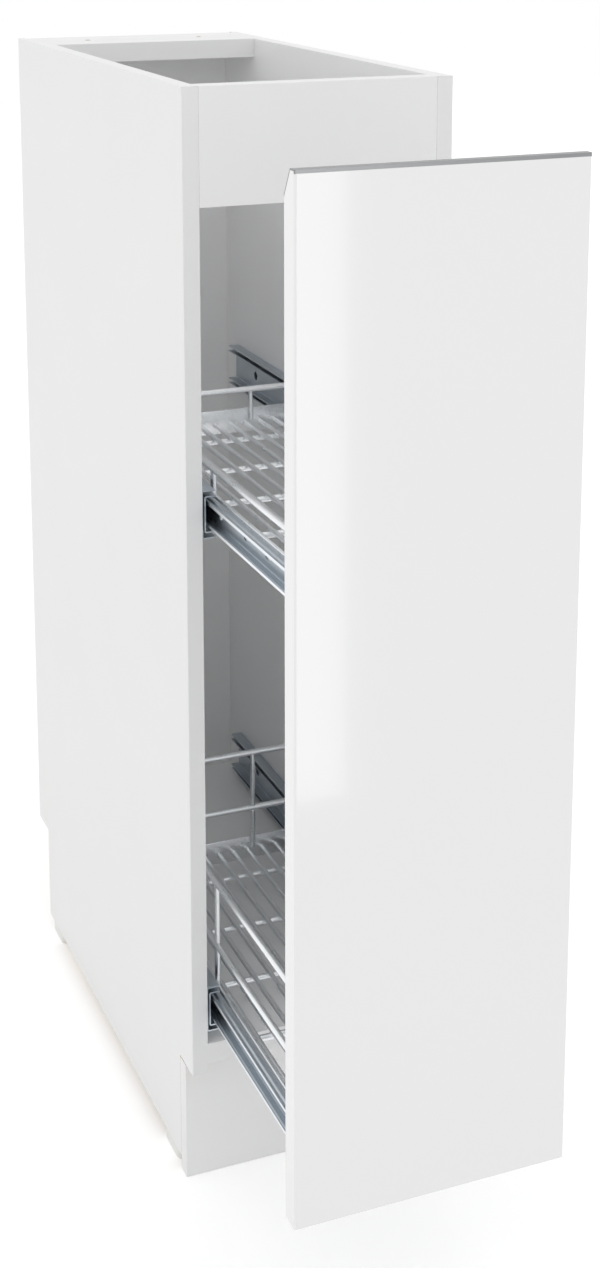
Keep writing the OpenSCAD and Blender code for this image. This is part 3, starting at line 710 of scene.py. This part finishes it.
class CABINET_OT_back(bpy.types.Operator):
    """Thin back: lacquered inside, raw brown outside"""

    bl_idname = "cabinet.back"
    bl_label = "Back"

    def execute(self, context):
        raw = [ALONG_Y, ALONG_Z, -ALONG_Z] + BOARD_ENDS
        skins = ("hardboard_white", "hardboard_raw")
        board("back_panel", "hardboard_back", BACK_EDGE, raw, "back_board", *skins)
        return {"FINISHED"}


class CABINET_OT_edge_bands(bpy.types.Operator):
    """Plastic bands with rounded edges on the front edges of the boards"""

    bl_idname = "cabinet.edge_bands"
    bl_label = "Edge bands"

    def execute(self, context):
        shape = copied("edge_bands")
        ways = {e: [f.normal.y for f in e.link_faces] for e in long_sharp_edges(shape)}
        front = [e for e, way in ways.items() if max(way) < 0.5 and min(way) < -0.5]
        rounded(shape, front, context.scene.cabinet_sizes.band_edge, 3)
        make_piece(shape, "front_edge_bands", "edge_bands", "white_plastic_band", "band", even=True)
        return {"FINISHED"}


class CABINET_OT_front_panel(bpy.types.Operator):
    """Gloss front panel with rounded edges and the finger bevel behind its top edge"""

    bl_idname = "cabinet.front_panel"
    bl_label = "Front panel"

    def execute(self, context):
        low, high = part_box("front_panel")
        strip = copied("grip_strip")
        sloping = [f for f in strip.faces if f.normal.y > 0.1 and f.normal.z > 0.1]
        slope = max(sloping, key=lambda f: f.calc_area())
        shape = bmesh.new()
        box_shape(shape, low, high)
        front = [e for e in shape.edges if any(f.normal.y < -0.5 for f in e.link_faces)]
        rounded(shape, front, context.scene.cabinet_sizes.panel_edge, 6)
        rim = sliced(shape, slope.calc_center_median(), slope.normal, clear_outer=True)
        bmesh.ops.edgeloop_fill(shape, edges=rim)
        # The groove for the strip is cut past the panel's ends and front, so no skin is left there
        bmesh.ops.scale(strip, vec=(1.05, 1, 1), verts=strip.verts)
        foremost = [v for v in strip.verts if v.co.y < low.y + WELD]
        bmesh.ops.translate(strip, vec=(0, -MM, 0), verts=foremost)
        bmesh.ops.translate(strip, vec=slope.normal * GROOVE_GAP, verts=strip.verts)
        shape = cut_away(shape, strip)
        make_piece(shape, "gloss_front_panel", "front_panel", "gloss_white_front", "gloss", even=True)
        return {"FINISHED"}


class CABINET_OT_grip_strip(bpy.types.Operator):
    """Anodised strip let into the panel's front, top edge and finger bevel"""

    bl_idname = "cabinet.grip_strip"
    bl_label = "Grip strip"

    def execute(self, context):
        shape = copied("grip_strip")
        front = min(v.co.y for v in shape.verts)
        foremost = [e for e in shape.edges if all(v.co.y < front + WELD for v in e.verts)]
        corners = [e for e in foremost if abs(e.verts[0].co.x - e.verts[1].co.x) < WELD]
        rounded(shape, corners, STRIP_CORNER, 3)
        rounded(shape, long_sharp_edges(shape, 50 * MM), STRIP_EDGE, 2)
        make_piece(shape, "anodised_grip_strip", "grip_strip", "grip_aluminium", "aluminium", even=True)
        return {"FINISHED"}


# Baskets


def ring(shape, centre, diameter, way, sides=14):
    """The open end of a wire: a circle of edges that faces a way."""
    made = bmesh.ops.create_circle(
        shape, cap_ends=False, radius=diameter / 2, segments=sides, matrix=turned_to(way, centre)
    )
    return list({e for v in made["verts"] for e in v.link_edges})


def run_on(shape, edges, step):
    """Draws the open end of a wire straight on and returns the new end."""
    made = bmesh.ops.extrude_edge_only(shape, edges=edges)["geom"]
    bmesh.ops.translate(shape, vec=step, verts=[g for g in made if isinstance(g, bmesh.types.BMVert)])
    return [g for g in made if isinstance(g, bmesh.types.BMEdge) and len(g.link_faces) == 1]


def bend_on(shape, edges, centre, angle, steps=8):
    """Bends the open end of a wire round a vertical axis and returns the new end."""
    corners = list({v for e in edges for v in e.verts})
    made = bmesh.ops.spin(
        shape,
        geom=edges + corners,
        cent=centre,
        axis=ALONG_Z,
        angle=angle,
        steps=steps,
        use_merge=False,
        use_duplicate=False,
    )
    return [g for g in made["geom_last"] if isinstance(g, bmesh.types.BMEdge)]


def rail_loop(shape, half_x, front, rear, height, bend, diameter):
    """One wire bent into a rounded rectangle and welded end to end."""
    middle = (front + rear) / 2
    run_x, run_y = half_x - bend, (rear - front) / 2 - bend
    end = ring(shape, (half_x, middle, height), diameter, ALONG_Y)
    end = run_on(shape, end, (0, run_y, 0))
    corners = [(run_x, run_y), (-run_x, run_y), (-run_x, -run_y), (run_x, -run_y)]
    runs = [(-2 * run_x, 0, 0), (0, -2 * run_y, 0), (2 * run_x, 0, 0), (0, run_y, 0)]
    for (x, y), run in zip(corners, runs):
        end = bend_on(shape, end, (x, middle + y, height), QUARTER)
        end = run_on(shape, end, run)
    bmesh.ops.remove_doubles(shape, verts=shape.verts, dist=WELD)


def flat_bar(shape, low, high):
    """A flat bar with its long edges rounded by the rolling mill."""
    bar = bmesh.new()
    box_shape(bar, low, high)
    rounded(bar, bar.edges[:], BAR_EDGE, 2)
    joined(shape, to_mesh(bar), Matrix.Identity(4))


def nugget(shape, place, *size):
    """A spot weld: the small flattened bead where two wires were pressed together, its half sizes in mm."""
    matrix = Matrix.Translation(place) @ Matrix.Diagonal((*(s * MM for s in size), 1))
    bmesh.ops.create_icosphere(shape, subdivisions=1, radius=1, matrix=matrix)


def upright(shape, x, y, low, high, diameter):
    """An upright wire with a rounded lower end; its top is welded to the rail."""
    wire = bmesh.new()
    rod(wire, (x, y, low), (x, y, high), diameter, 14)
    foot = [e for e in wire.edges if all(v.co.z < low + WELD for v in e.verts)]
    rounded(wire, foot, 0.8 * MM, 2)
    joined(shape, to_mesh(wire), Matrix.Identity(4))


def basket_floor(shape, s, low, bar_in, front, rear):
    """Lengthwise wires welded on cross wires, both welded to the flat bars."""
    floor_z = low.z + s.cross_wire + s.floor_wire / 2 + MM
    cross_z = floor_z - (s.floor_wire + s.cross_wire) / 2 + 0.5 * MM
    half_count = math.floor((bar_in - s.floor_wire) / s.floor_pitch)
    floor_x = [i * s.floor_pitch for i in range(-half_count, half_count + 1)]
    step = (rear - front) / CROSS_WIRES
    cross_y = [front + step * (i + 0.5) for i in range(CROSS_WIRES)]
    for x in floor_x:
        rod(shape, (x, front + MM, floor_z), (x, rear - MM, floor_z), s.floor_wire)
    for y in cross_y:
        rod(shape, (-bar_in - MM, y, cross_z), (bar_in + MM, y, cross_z), s.cross_wire)
    contact = floor_z - s.floor_wire / 2 + 0.2 * MM
    for x in floor_x:
        for y in cross_y:
            nugget(shape, (x, y, contact), 2.3, 2.6, 0.9)
        for y in (front + s.bar_thickness, rear - s.bar_thickness):
            nugget(shape, (x, y, floor_z), 2.5, 1.1, 2.5)


def wire_basket(context, node, name, rails):
    """A welded basket: flat bars round a wire floor, rails and uprights, all chrome-plated."""
    s = context.scene.cabinet_sizes
    low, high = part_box(node)
    bar_in, bar_top = high.x - s.bar_thickness, low.z + s.bar_height
    front, rear = low.y + s.basket_front, high.y
    shape = bmesh.new()
    for near, far in ((-high.x, -bar_in), (bar_in, high.x)):
        flat_bar(shape, (near, low.y, low.z), (far, high.y, bar_top))
    for y in (front, rear - s.bar_thickness):
        flat_bar(shape, (-bar_in - MM, y, low.z), (bar_in + MM, y + s.bar_thickness, bar_top))
    basket_floor(shape, s, low, bar_in, front, rear)

    centre = low.z + s.bar_height / 2
    rail_x = bar_in - s.rail_wire / 2 + RAIL_SEAT
    rail_front = front + s.bar_thickness + s.rail_wire / 2 - END_SEAT
    rail_rear = rear - s.bar_thickness - s.rail_wire / 2 + END_SEAT
    for height in rails:
        rail_loop(shape, rail_x, rail_front, rail_rear, centre + height, s.rail_bend, s.rail_wire)
    inset = s.rail_bend + MM
    side_y = (rail_front + inset, (low.y + high.y) / 2, rail_rear - inset)
    places = [(side * rail_x, y) for side in (-1, 1) for y in side_y]
    places += [(side * 0.4 * high.x, y) for side in (-1, 1) for y in (rail_front, rail_rear)]
    for x, y in places:
        upright(shape, x, y, centre, centre + rails[-1], s.upright_wire)
        for height in rails:
            nugget(shape, (x, y, centre + height - s.rail_wire / 2), 2.5, 2.5, 1.2)
        nugget(shape, (x, y, bar_top), 2.4, 2.4, 1.0)
    make_piece(shape, name, node, "chrome_wire", "chrome", crease=50)


class CABINET_OT_baskets(bpy.types.Operator):
    """Two welded wire baskets with flat side bars"""

    bl_idname = "cabinet.baskets"
    bl_label = "Baskets"

    def execute(self, context):
        s = context.scene.cabinet_sizes
        wire_basket(context, "upper_basket", "upper_wire_basket", [s.upper_rail])
        wire_basket(context, "lower_basket", "lower_wire_basket", [s.lower_rail_1, s.lower_rail_2])
        return {"FINISHED"}


# Runners


def slot_cutter(shape, centre):
    """Adds a cutter for a round-ended slot through a runner's web, long in Y."""
    before = len(shape.verts)
    rod(shape, centre - ALONG_X * 2 * MM, centre + ALONG_X * 2 * MM, SLOT_WIDTH, 20)
    shape.verts.ensure_lookup_table()
    for corner in shape.verts[before:]:
        corner.co.y += math.copysign(SLOT_EXTRA / 2, corner.co.y - centre.y)


def ball_tracks(shape, ball_x, edge_x, middle_z):
    """Rolls a groove for the balls into both flanges and turns their free edges in as lips, whose end faces
    take a paler, smoother steel: a painted highlight along the edges.
    """
    shares = [i / TRACK_STEPS for i in range(-TRACK_STEPS, TRACK_STEPS + 1)]
    lip_x = edge_x + math.copysign(LIP_THICKNESS, ball_x - edge_x)
    for x in [lip_x] + [ball_x + share * TRACK_HALF for share in shares]:
        sliced(shape, (x, 0, 0), ALONG_X)
    outer_z = max(abs(v.co.z - middle_z) for v in shape.verts)
    for corner in shape.verts:
        share = (corner.co.x - ball_x) / TRACK_HALF
        height = corner.co.z - middle_z
        if abs(share) < 1:
            corner.co.z -= math.copysign(TRACK_DEPTH * math.cos(QUARTER * share) ** 2, height)
        elif abs(corner.co.x - edge_x) < LIP_THICKNESS + WELD and abs(height) < outer_z - WELD:
            corner.co.z -= math.copysign(LIP_HEIGHT, height)
    # The flanges' free end faces take the second finish, the painted highlight
    for face in shape.faces:
        if all(abs(v.co.x - edge_x) < WELD for v in face.verts):
            face.material_index = 1


def runner_member(kind, where):
    """A rolled channel of a runner, copied with its bores and given its punched slots."""
    node = f"{kind}_runner_{where}"
    low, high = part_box(node)
    web_is_low = ("left" in where) == (kind != "inner")
    web_x, edge_x = (low.x, high.x) if web_is_low else (high.x, low.x)
    middle_z = (low.z + high.z) / 2
    shape, finishes = copied(node), ["runner"]
    if kind == "inner":
        ball_x = abs(middle_of(solids_of("inner_balls")[0]).x)
        ball_tracks(shape, math.copysign(ball_x, web_x), edge_x, middle_z)
        # The paler lip steel paints the highlight of the flanges' free edges
        finishes.append("lip")
    if SLOTS[kind]:
        cutter = bmesh.new()
        for share in SLOTS[kind]:
            slot_cutter(cutter, Vector((web_x, low.y + share * (high.y - low.y), middle_z)))
        shape = cut_away(shape, cutter)
    make_piece(shape, f"{kind}_member_{where}", node, "runner_steel", *finishes, crease=40, even=True)


class CABINET_OT_runners(bpy.types.Operator):
    """The outer, middle and inner members of the four ball-bearing runners"""

    bl_idname = "cabinet.runners"
    bl_label = "Runners"

    def execute(self, context):
        for where in RUNNERS:
            for kind in SLOTS:
                runner_member(kind, where)
        return {"FINISHED"}


class CABINET_OT_ball_cages(bpy.types.Operator):
    """Thin rolled cages that keep the balls apart"""

    bl_idname = "cabinet.ball_cages"
    bl_label = "Ball cages"

    def execute(self, context):
        for kind in ("outer", "inner"):
            node = f"{kind}_ball_cages"
            make_piece(copied(node), f"{kind}_cage_strips", node, "cage_steel", "cage", even=True)
        return {"FINISHED"}


class CABINET_OT_balls(bpy.types.Operator):
    """Polished bearing balls of the runners"""

    bl_idname = "cabinet.balls"
    bl_label = "Balls"

    def execute(self, context):
        for kind in ("outer", "inner"):
            shape = bmesh.new()
            for points in solids_of(f"{kind}_balls"):
                low, high = low_and_high(points)
                place = Matrix.Translation((low + high) / 2)
                radius = (high.z - low.z) / 2
                bmesh.ops.create_uvsphere(shape, u_segments=20, v_segments=12, radius=radius, matrix=place)
            make_piece(shape, f"{kind}_bearing_balls", f"{kind}_balls", "ball_steel", "ball", crease=60)
        return {"FINISHED"}


# Fittings


def placed_copies(node, name, slot, finish_name, place_of, pattern_of):
    """For each separate solid of a node, a copy of the pattern made for a solid of its size."""
    shape, patterns = bmesh.new(), {}
    for points in solids_of(node):
        low, high = low_and_high(points)
        size = tuple(round(side, 5) for side in high - low)
        if size not in patterns:
            patterns[size] = to_mesh(pattern_of(high - low))
        joined(shape, patterns[size], place_of(points))
    for mesh in patterns.values():
        bpy.data.meshes.remove(mesh)
    make_piece(shape, name, node, slot, finish_name)


def cross_recess(reach, depth, top):
    """A cutter for a cross recess that narrows towards its bottom; the head's top is at Z = top."""
    cutter = bmesh.new()
    for turn in (0, QUARTER):
        before = len(cutter.verts)
        box_shape(cutter, (-reach, -reach * 0.2, top - reach), (reach, reach * 0.2, top + depth))
        cutter.verts.ensure_lookup_table()
        arm = cutter.verts[before:]
        for corner in arm:
            if corner.co.z > top:
                corner.co.x *= 0.45
                corner.co.y *= 0.6
        bmesh.ops.rotate(cutter, cent=(0, 0, 0), matrix=Matrix.Rotation(turn, 3, "Z"), verts=arm)
    return cutter


def threaded_screw(crown, recess, shank, length, pitch, point, start):
    """A screw from its head's profile and its recess's cutter: the shank runs up from the seat at Z = 0."""
    core = shank * CORE_SHARE
    shape = bmesh.new()
    turned(shape, crown + [(core, length - point), (core * 0.25, length - 0.1 * MM), (0, length)])
    shape = cut_away(shape, recess)
    thread(shape, core, shank / 2, pitch, start, length - point * 0.6)
    return shape


def pan_head_screw(size, shank, head, pitch, point):
    """A screw with a low domed head."""
    rim = head / 2
    crown = [(r, -z) for r, z in dome(rim, PAN_HEAD * 0.72, PAN_HEAD * 0.28)][::-1]
    crown += [(rim, 0), (shank * CORE_SHARE, 0)]
    recess = cross_recess(rim * 0.56, PAN_HEAD * 0.62, -PAN_HEAD)
    length = size[long_axis(size)] - PAN_HEAD
    return threaded_screw(crown, recess, shank, length, pitch, point, 0.8 * MM)


def countersunk_screw(size, shank, head, pitch, point):
    """A screw with a flat head on a cone, for the runners."""
    top, rim = -RUNNER_SCREW_HEAD, head / 2
    crown = [(0, top), (rim - 0.1 * MM, top), (rim, top + 0.1 * MM), (shank / 2, 0)]
    crown += [(shank * CORE_SHARE, 0.6 * MM)]
    recess = cross_recess(head * 0.27, RUNNER_SCREW_HEAD * 0.75, top)
    length = size[long_axis(size)] - RUNNER_SCREW_HEAD
    return threaded_screw(crown, recess, shank, length, pitch, point, 1.2 * MM)


class CABINET_OT_screws(bpy.types.Operator):
    """Chipboard screws, runner screws and the screws through the baskets' side bars"""

    bl_idname = "cabinet.screws"
    bl_label = "Screws"

    def execute(self, context):
        for node, (name, *measures) in PAN_SCREWS.items():
            sizes = [m * MM for m in measures]
            placed_copies(
                node,
                name,
                "screw_steel",
                "screw",
                lambda points: screw_place(points, PAN_HEAD),
                lambda size: pan_head_screw(size, *sizes),
            )
        placed_copies(
            "runner_screws",
            "countersunk_runner_screws",
            "screw_steel",
            "screw",
            lambda points: screw_place(points, RUNNER_SCREW_HEAD),
            lambda size: countersunk_screw(size, 3 * MM, 6 * MM, 1.3 * MM, 2 * MM),
        )
        return {"FINISHED"}


class CABINET_OT_nails(bpy.types.Operator):
    """Ring-shank nails round the back"""

    bl_idname = "cabinet.nails"
    bl_label = "Nails"

    head_height, radius, first_ring, ring_step = 1 * MM, 0.9 * MM, 1.5 * MM, 0.8 * MM

    def execute(self, context):
        placed_copies(
            "back_nails",
            "ring_shank_nails",
            "screw_steel",
            "screw",
            lambda points: screw_place(points, self.head_height),
            self.nail,
        )
        return {"FINISHED"}

    def nail(self, size):
        """A nail with a domed head, rings that hold in the wood, and a point."""
        rim, length = size.x / 2, size.y - self.head_height
        crown = [(r, -h) for r, h in dome(rim, self.head_height * 0.6, self.head_height * 0.4, 3)][::-1]
        rings, z = [], self.first_ring
        while z < length - 2.5 * MM:
            rings += [(self.radius, z), (self.radius * 0.82, z + 0.35 * MM)]
            z += self.ring_step
        tip = [(self.radius * 0.8, length - 2 * MM), (0, length)]
        shape = bmesh.new()
        turned(shape, crown + [(rim, -0.1 * MM), (self.radius, 0)] + rings + tip, 14)
        return shape


class CABINET_OT_cam_fittings(bpy.types.Operator):
    """Die-cast cams and the bolts that they draw"""

    bl_idname = "cabinet.cam_fittings"
    bl_label = "Cam fittings"

    def execute(self, context):
        placed_copies(
            "cam_bolts",
            "cam_fitting_bolts",
            "screw_steel",
            "screw",
            lambda points: screw_place(points, 0),
            self.bolt,
        )
        placed_copies("cams", "die_cast_cams", "zinc_diecast", "cast", self.cam_place, self.cam)
        return {"FINISHED"}

    def bolt(self, size):
        """A bolt with a ball-shaped head, a waist that the cam grips, and a wood thread."""
        head, neck, waist, core, screw_end = 3.3 * MM, 2.2 * MM, 1.54 * MM, 1.95 * MM, 8.5 * MM
        shape = bmesh.new()
        turned(
            shape,
            [(0, 0), (head - 0.4 * MM, 0), (head, 0.4 * MM), (head, 1.9 * MM), (waist, 2.5 * MM)]
            + [(waist, 5 * MM), (neck, 5.6 * MM), (neck, size.x - screw_end), (core, size.x - screw_end)]
            + [(core, size.x - 1.2 * MM), (core * 0.5, size.x)],
            24,
        )
        bmesh.ops.holes_fill(shape, edges=shape.edges, sides=0)
        thread(shape, core, 2.5 * MM, 1.6 * MM, size.x - screw_end + 0.8 * MM, size.x - 1.2 * MM)
        return shape

    def cam(self, size):
        """A drum with a cross recess in its face and a mouth in its side for the bolt's head."""
        radius, depth, edge = size.x / 2, min(size), 0.5 * MM
        shape = bmesh.new()
        profile = [(0, 0), (radius - edge, 0), (radius, edge), (radius, depth - 0.6 * MM)]
        turned(shape, profile + [(radius - 0.6 * MM, depth), (0, depth)], 40)
        shape = cut_away(shape, cross_recess(radius * 0.6, 2.4 * MM, 0))
        mouth = bmesh.new()
        box_shape(mouth, (0.5 * MM, -2.6 * MM, 4.4 * MM), (radius + MM, 2.6 * MM, 11.6 * MM))
        return cut_away(shape, mouth)

    def cam_place(self, points):
        """The slotted face looks down, or back on the front rail; the mouth looks to the side board."""
        low, high = low_and_high(points)
        middle, size = (low + high) / 2, high - low
        axis = long_axis(size)
        inwards = -ALONG_Y if axis == 1 else ALONG_Z
        sideways = ALONG_X * math.copysign(1, middle.x)
        matrix = Matrix((sideways, inwards.cross(sideways), inwards)).transposed().to_4x4()
        return Matrix.Translation(middle - inwards * size[axis] / 2) @ matrix


class CABINET_OT_dowels(bpy.types.Operator):
    """Fluted beech dowels with chamfered ends"""

    bl_idname = "cabinet.dowels"
    bl_label = "Dowels"

    def execute(self, context):
        placed_copies(
            "dowels",
            "fluted_beech_dowels",
            "beech",
            "beech",
            lambda points: Matrix.Translation(middle_of(points)),
            self.dowel,
        )
        return {"FINISHED"}

    def dowel(self, size):
        """A dowel along X with sixteen glue flutes."""
        half = size.x / 2
        shape = bmesh.new()
        rod(shape, (-half, 0, 0), (half, 0, 0), size.z, 48)
        ends = [e for e in shape.edges if all(abs(abs(v.co.x) - half) < WELD for v in e.verts)]
        rounded(shape, ends, 0.8 * MM, 1)
        for corner in shape.verts:
            angle = math.atan2(corner.co.z, corner.co.y)
            flute = 1 - 0.05 * (0.5 + 0.5 * math.cos(16 * angle)) ** 2
            corner.co.y *= flute
            corner.co.z *= flute
        return shape


def pressed(context, node, name, slot="zinc_steel", finish_name="pressed"):
    """A pressed angle or bracket: its heels are bent round a radius, outside and inside."""
    shape = copied(node)

    def heels(least_area=0.0):
        """The long edges at a right angle, with their signed angles, between faces of at least an area."""
        joints = [e for e in shape.edges if len(e.link_faces) == 2 and e.calc_length() > PRESSED_HEEL]
        wide = [e for e in joints if all(f.calc_area() > least_area for f in e.link_faces)]
        angles = [(e, e.calc_face_angle_signed()) for e in wide]
        return [(e, angle) for e, angle in angles if abs(angle) > math.radians(80)]

    outer = [e for e, angle in heels(PRESSED_FACE) if angle > 0]
    rounded(shape, outer, context.scene.cabinet_sizes.bend, 6)
    rounded(shape, [e for e, angle in heels() if angle < 0], 0.6 * MM, 3)
    make_piece(shape, name, node, slot, finish_name, even=True)


class CABINET_OT_angles(bpy.types.Operator):
    """Plinth angles, wall angle and the brackets between the baskets and the panel"""

    bl_idname = "cabinet.angles"
    bl_label = "Angles and brackets"

    def execute(self, context):
        pressed(context, "plinth_angles", "bent_plinth_angles")
        pressed(context, "wall_angle", "bent_wall_angle", "white_coated_steel", "coated")
        pressed(context, "front_brackets", "bent_front_brackets")
        return {"FINISHED"}


class CABINET_OT_glides(bpy.types.Operator):
    """Moulded glides nailed under the side boards"""

    bl_idname = "cabinet.glides"
    bl_label = "Glides"

    def execute(self, context):
        placed_copies(
            "side_glides",
            "nail_in_glides",
            "white_plastic",
            "nylon",
            lambda points: Matrix.Translation(low_end(points, 2)),
            self.glide,
        )
        return {"FINISHED"}

    def glide(self, size):
        """A long round-ended foot with a soft sole and a barbed nail."""
        height = size.z - GLIDE_NAIL
        shape = bmesh.new()
        rod(shape, (0, 0, 0), (0, 0, height), size.x, 28)
        for corner in shape.verts:
            if abs(corner.co.y) > WELD:
                corner.co.y += math.copysign((size.y - size.x) / 2, corner.co.y)
        sole = [e for e in shape.edges if all(v.co.z < WELD for v in e.verts)]
        rounded(shape, sole, 1.2 * MM, 4)
        barb, shank = 1.2 * MM, 0.95 * MM
        profile = [(0, height - MM), (barb, height)]
        for i in range(5):
            z = height + 2 * MM * (i + 1)
            profile += [(barb, z), (shank, z + 0.3 * MM), (shank, z + 0.8 * MM)]
        turned(shape, profile + [(0.9 * MM, size.z - 1.5 * MM), (0, size.z)], 16)
        return shape


class CABINET_OT_bumpers(bpy.types.Operator):
    """Clear domed bumpers behind the panel's corners"""

    bl_idname = "cabinet.bumpers"
    bl_label = "Bumpers"

    def execute(self, context):
        placed_copies(
            "panel_bumpers",
            "clear_panel_bumpers",
            "clear_bumper",
            "rubber",
            lambda points: turned_to(ALONG_Y, low_end(points, 1)),
            self.bumper,
        )
        return {"FINISHED"}

    def bumper(self, size):
        """A low dome on a short round base."""
        radius, height = size.x / 2, size.y
        shape = bmesh.new()
        base = [(0, 0), (radius, 0), (radius, height * 0.35)]
        turned(shape, base + dome(radius * 0.98, height * 0.6, height * 0.4))
        return shape


# Stage


def seen_straight(tree):
    """1 for what the camera, a mirror or glass sees, and 0 for light that falls on the object."""
    rays = add_node(tree, "ShaderNodeLightPath").outputs
    seen = rays["Is Camera Ray"]
    for kind in ("Is Glossy Ray", "Is Transmission Ray"):
        seen = add_node(tree, "ShaderNodeMath", {0: seen, 1: rays[kind]}, operation="MAXIMUM").outputs[0]
    return seen


def stage_mesh(shape, material):
    """Adds a mesh that isn't part of the object, named as its material is."""
    mesh = to_mesh(shape, material.name)
    mesh.materials.append(material)
    made = bpy.data.objects.new(material.name, mesh)
    bpy.context.scene.collection.objects.link(made)
    return made


def build_world(scene):
    """White surroundings for what is seen straight, and a plain soft light for the object."""
    world = bpy.data.worlds.new("studio")
    world.use_nodes = True
    tree = world.node_tree
    inputs = {"Value": seen_straight(tree), "To Min": WORLD_LIGHT, "To Max": 1.0}
    strength = add_node(tree, "ShaderNodeMapRange", inputs).outputs["Result"]
    fill(tree.nodes["Background"], {"Color": (1, 1, 1, 1), "Strength": strength})
    scene.world = world


def build_floor():
    """White floor that keeps the object's shadow."""
    material = bpy.data.materials.new("studio_floor")
    material.use_nodes = True
    tree = material.node_tree
    inputs = {"Value": seen_straight(tree), "To Min": 0.0, "To Max": FLOOR_GLOW}
    glow = add_node(tree, "ShaderNodeMapRange", inputs).outputs["Result"]
    fill(tree.nodes["Principled BSDF"], {"Base Color": (*[FLOOR_WHITE] * 3, 1), "Roughness": 0.9})
    fill(tree.nodes["Principled BSDF"], {"Specular IOR Level": 0.1, "Emission Color": (1, 1, 1, 1)})
    fill(tree.nodes["Principled BSDF"], {"Emission Strength": glow})
    shape = bmesh.new()
    bmesh.ops.create_grid(shape, x_segments=1, y_segments=1, size=FLOOR_SIZE / 2)
    floor = stage_mesh(shape, material)
    floor.location.z = CAD_LOW.z - 0.2 * MM


def build_lamp():
    """One large soft lamp from the front left."""
    light = bpy.data.lights.new("soft_box_left", "AREA")
    light.shape, light.size, light.size_y, light.energy = "RECTANGLE", LAMP_SIZE, LAMP_SIZE, LAMP_POWER
    lamp = bpy.data.objects.new("soft_box_left", light)
    lamp.location = LAMP_PLACE
    lamp.rotation_euler = (Vector(LAMP_AIM) - Vector(LAMP_PLACE)).to_track_quat("-Z", "Y").to_euler()
    lamp.visible_camera, lamp.visible_glossy = False, False
    bpy.context.scene.collection.objects.link(lamp)


def build_card():
    """A bright card that only glossy rays see: the gloss panel mirrors it, with one soft side."""
    material = bpy.data.materials.new("bright_card")
    material.use_nodes = True
    tree = material.node_tree
    tree.nodes.remove(tree.nodes["Principled BSDF"])
    place = add_node(tree, "ShaderNodeTexCoord").outputs["Object"]
    across = add_node(tree, "ShaderNodeSeparateXYZ", {"Vector": place}).outputs["X"]
    limits = {"From Min": CARD_RIGHT - CARD_FADE, "From Max": CARD_RIGHT, "To Min": 1.0, "To Max": 0.0}
    fade = add_node(tree, "ShaderNodeMapRange", {"Value": across, **limits}).outputs["Result"]
    glossy = add_node(tree, "ShaderNodeLightPath").outputs["Is Glossy Ray"]
    shown = add_node(tree, "ShaderNodeMath", {0: glossy, 1: fade}, operation="MULTIPLY").outputs[0]
    clear = add_node(tree, "ShaderNodeBsdfTransparent").outputs[0]
    glow = add_node(tree, "ShaderNodeEmission", {"Strength": CARD_LIGHT}).outputs[0]
    both = add_node(tree, "ShaderNodeMixShader", {0: shown, 1: clear, 2: glow}).outputs[0]
    fill(tree.nodes["Material Output"], {"Surface": both})
    shape = bmesh.new()
    box_shape(shape, (CARD_LEFT, CARD_Y, 0), (CARD_RIGHT, CARD_Y + MM, CARD_TOP))
    card = stage_mesh(shape, material)


def build_camera(scene):
    """The photograph's view: from the front left and a little above."""
    camera = bpy.data.cameras.new("camera")
    camera.lens, camera.sensor_width = CAMERA_LENS, 36
    camera.shift_y = CAMERA_SHIFT_Y
    camera.clip_start, camera.clip_end = 0.05, 50
    holder = bpy.data.objects.new("camera", camera)
    holder.location = CAMERA_PLACE
    holder.rotation_euler = (QUARTER - CAMERA_DOWN, 0, -CAMERA_YAW)
    scene.collection.objects.link(holder)
    scene.camera = holder
    scene.view_settings.view_transform = "Standard"


class CABINET_OT_stage(bpy.types.Operator):
    """Pale floor, soft light, white surroundings and the camera"""

    bl_idname = "cabinet.stage"
    bl_label = "Stage"

    def execute(self, context):
        build_floor()
        build_world(context.scene)
        build_lamp()
        build_card()
        build_camera(context.scene)
        context.scene.cycles.diffuse_bounces = DIFFUSE_BOUNCES
        context.scene.cycles.max_bounces = MAX_BOUNCES
        return {"FINISHED"}


OPERATORS = (
    CABINET_OT_side_boards,
    CABINET_OT_inner_boards,
    CABINET_OT_back,
    CABINET_OT_edge_bands,
    CABINET_OT_front_panel,
    CABINET_OT_grip_strip,
    CABINET_OT_baskets,
    CABINET_OT_runners,
    CABINET_OT_ball_cages,
    CABINET_OT_balls,
    CABINET_OT_screws,
    CABINET_OT_nails,
    CABINET_OT_cam_fittings,
    CABINET_OT_dowels,
    CABINET_OT_angles,
    CABINET_OT_glides,
    CABINET_OT_bumpers,
    CABINET_OT_stage,
)


class CABINET_PT_pieces(bpy.types.Panel):
    """Lists the pieces and the stage in the sidebar"""

    bl_idname = "CABINET_PT_pieces"
    bl_label = "Pull-out cabinet"
    bl_space_type = "VIEW_3D"
    bl_region_type = "UI"
    bl_category = "Cabinet"

    def draw(self, context):
        layout = self.layout
        for group in (context.scene.cabinet_sizes, context.scene.cabinet_colours):
            column = layout.column()
            for name in group.__annotations__:
                column.prop(group, name)
        for operator in OPERATORS:
            layout.operator(operator.bl_idname)


CLASSES = (CabinetSizes, CabinetColours, *OPERATORS, CABINET_PT_pieces)


def register():
    for each in CLASSES:
        bpy.utils.register_class(each)
    bpy.types.Scene.cabinet_sizes = bpy.props.PointerProperty(type=CabinetSizes)
    bpy.types.Scene.cabinet_colours = bpy.props.PointerProperty(type=CabinetColours)


def unregister():
    del bpy.types.Scene.cabinet_colours
    del bpy.types.Scene.cabinet_sizes
    for each in reversed(CLASSES):
        bpy.utils.unregister_class(each)


def main():
    register()
    for operator in OPERATORS:
        group, name = operator.bl_idname.split(".")
        getattr(getattr(bpy.ops, group), name)()


if __name__ == "__main__":
    main()
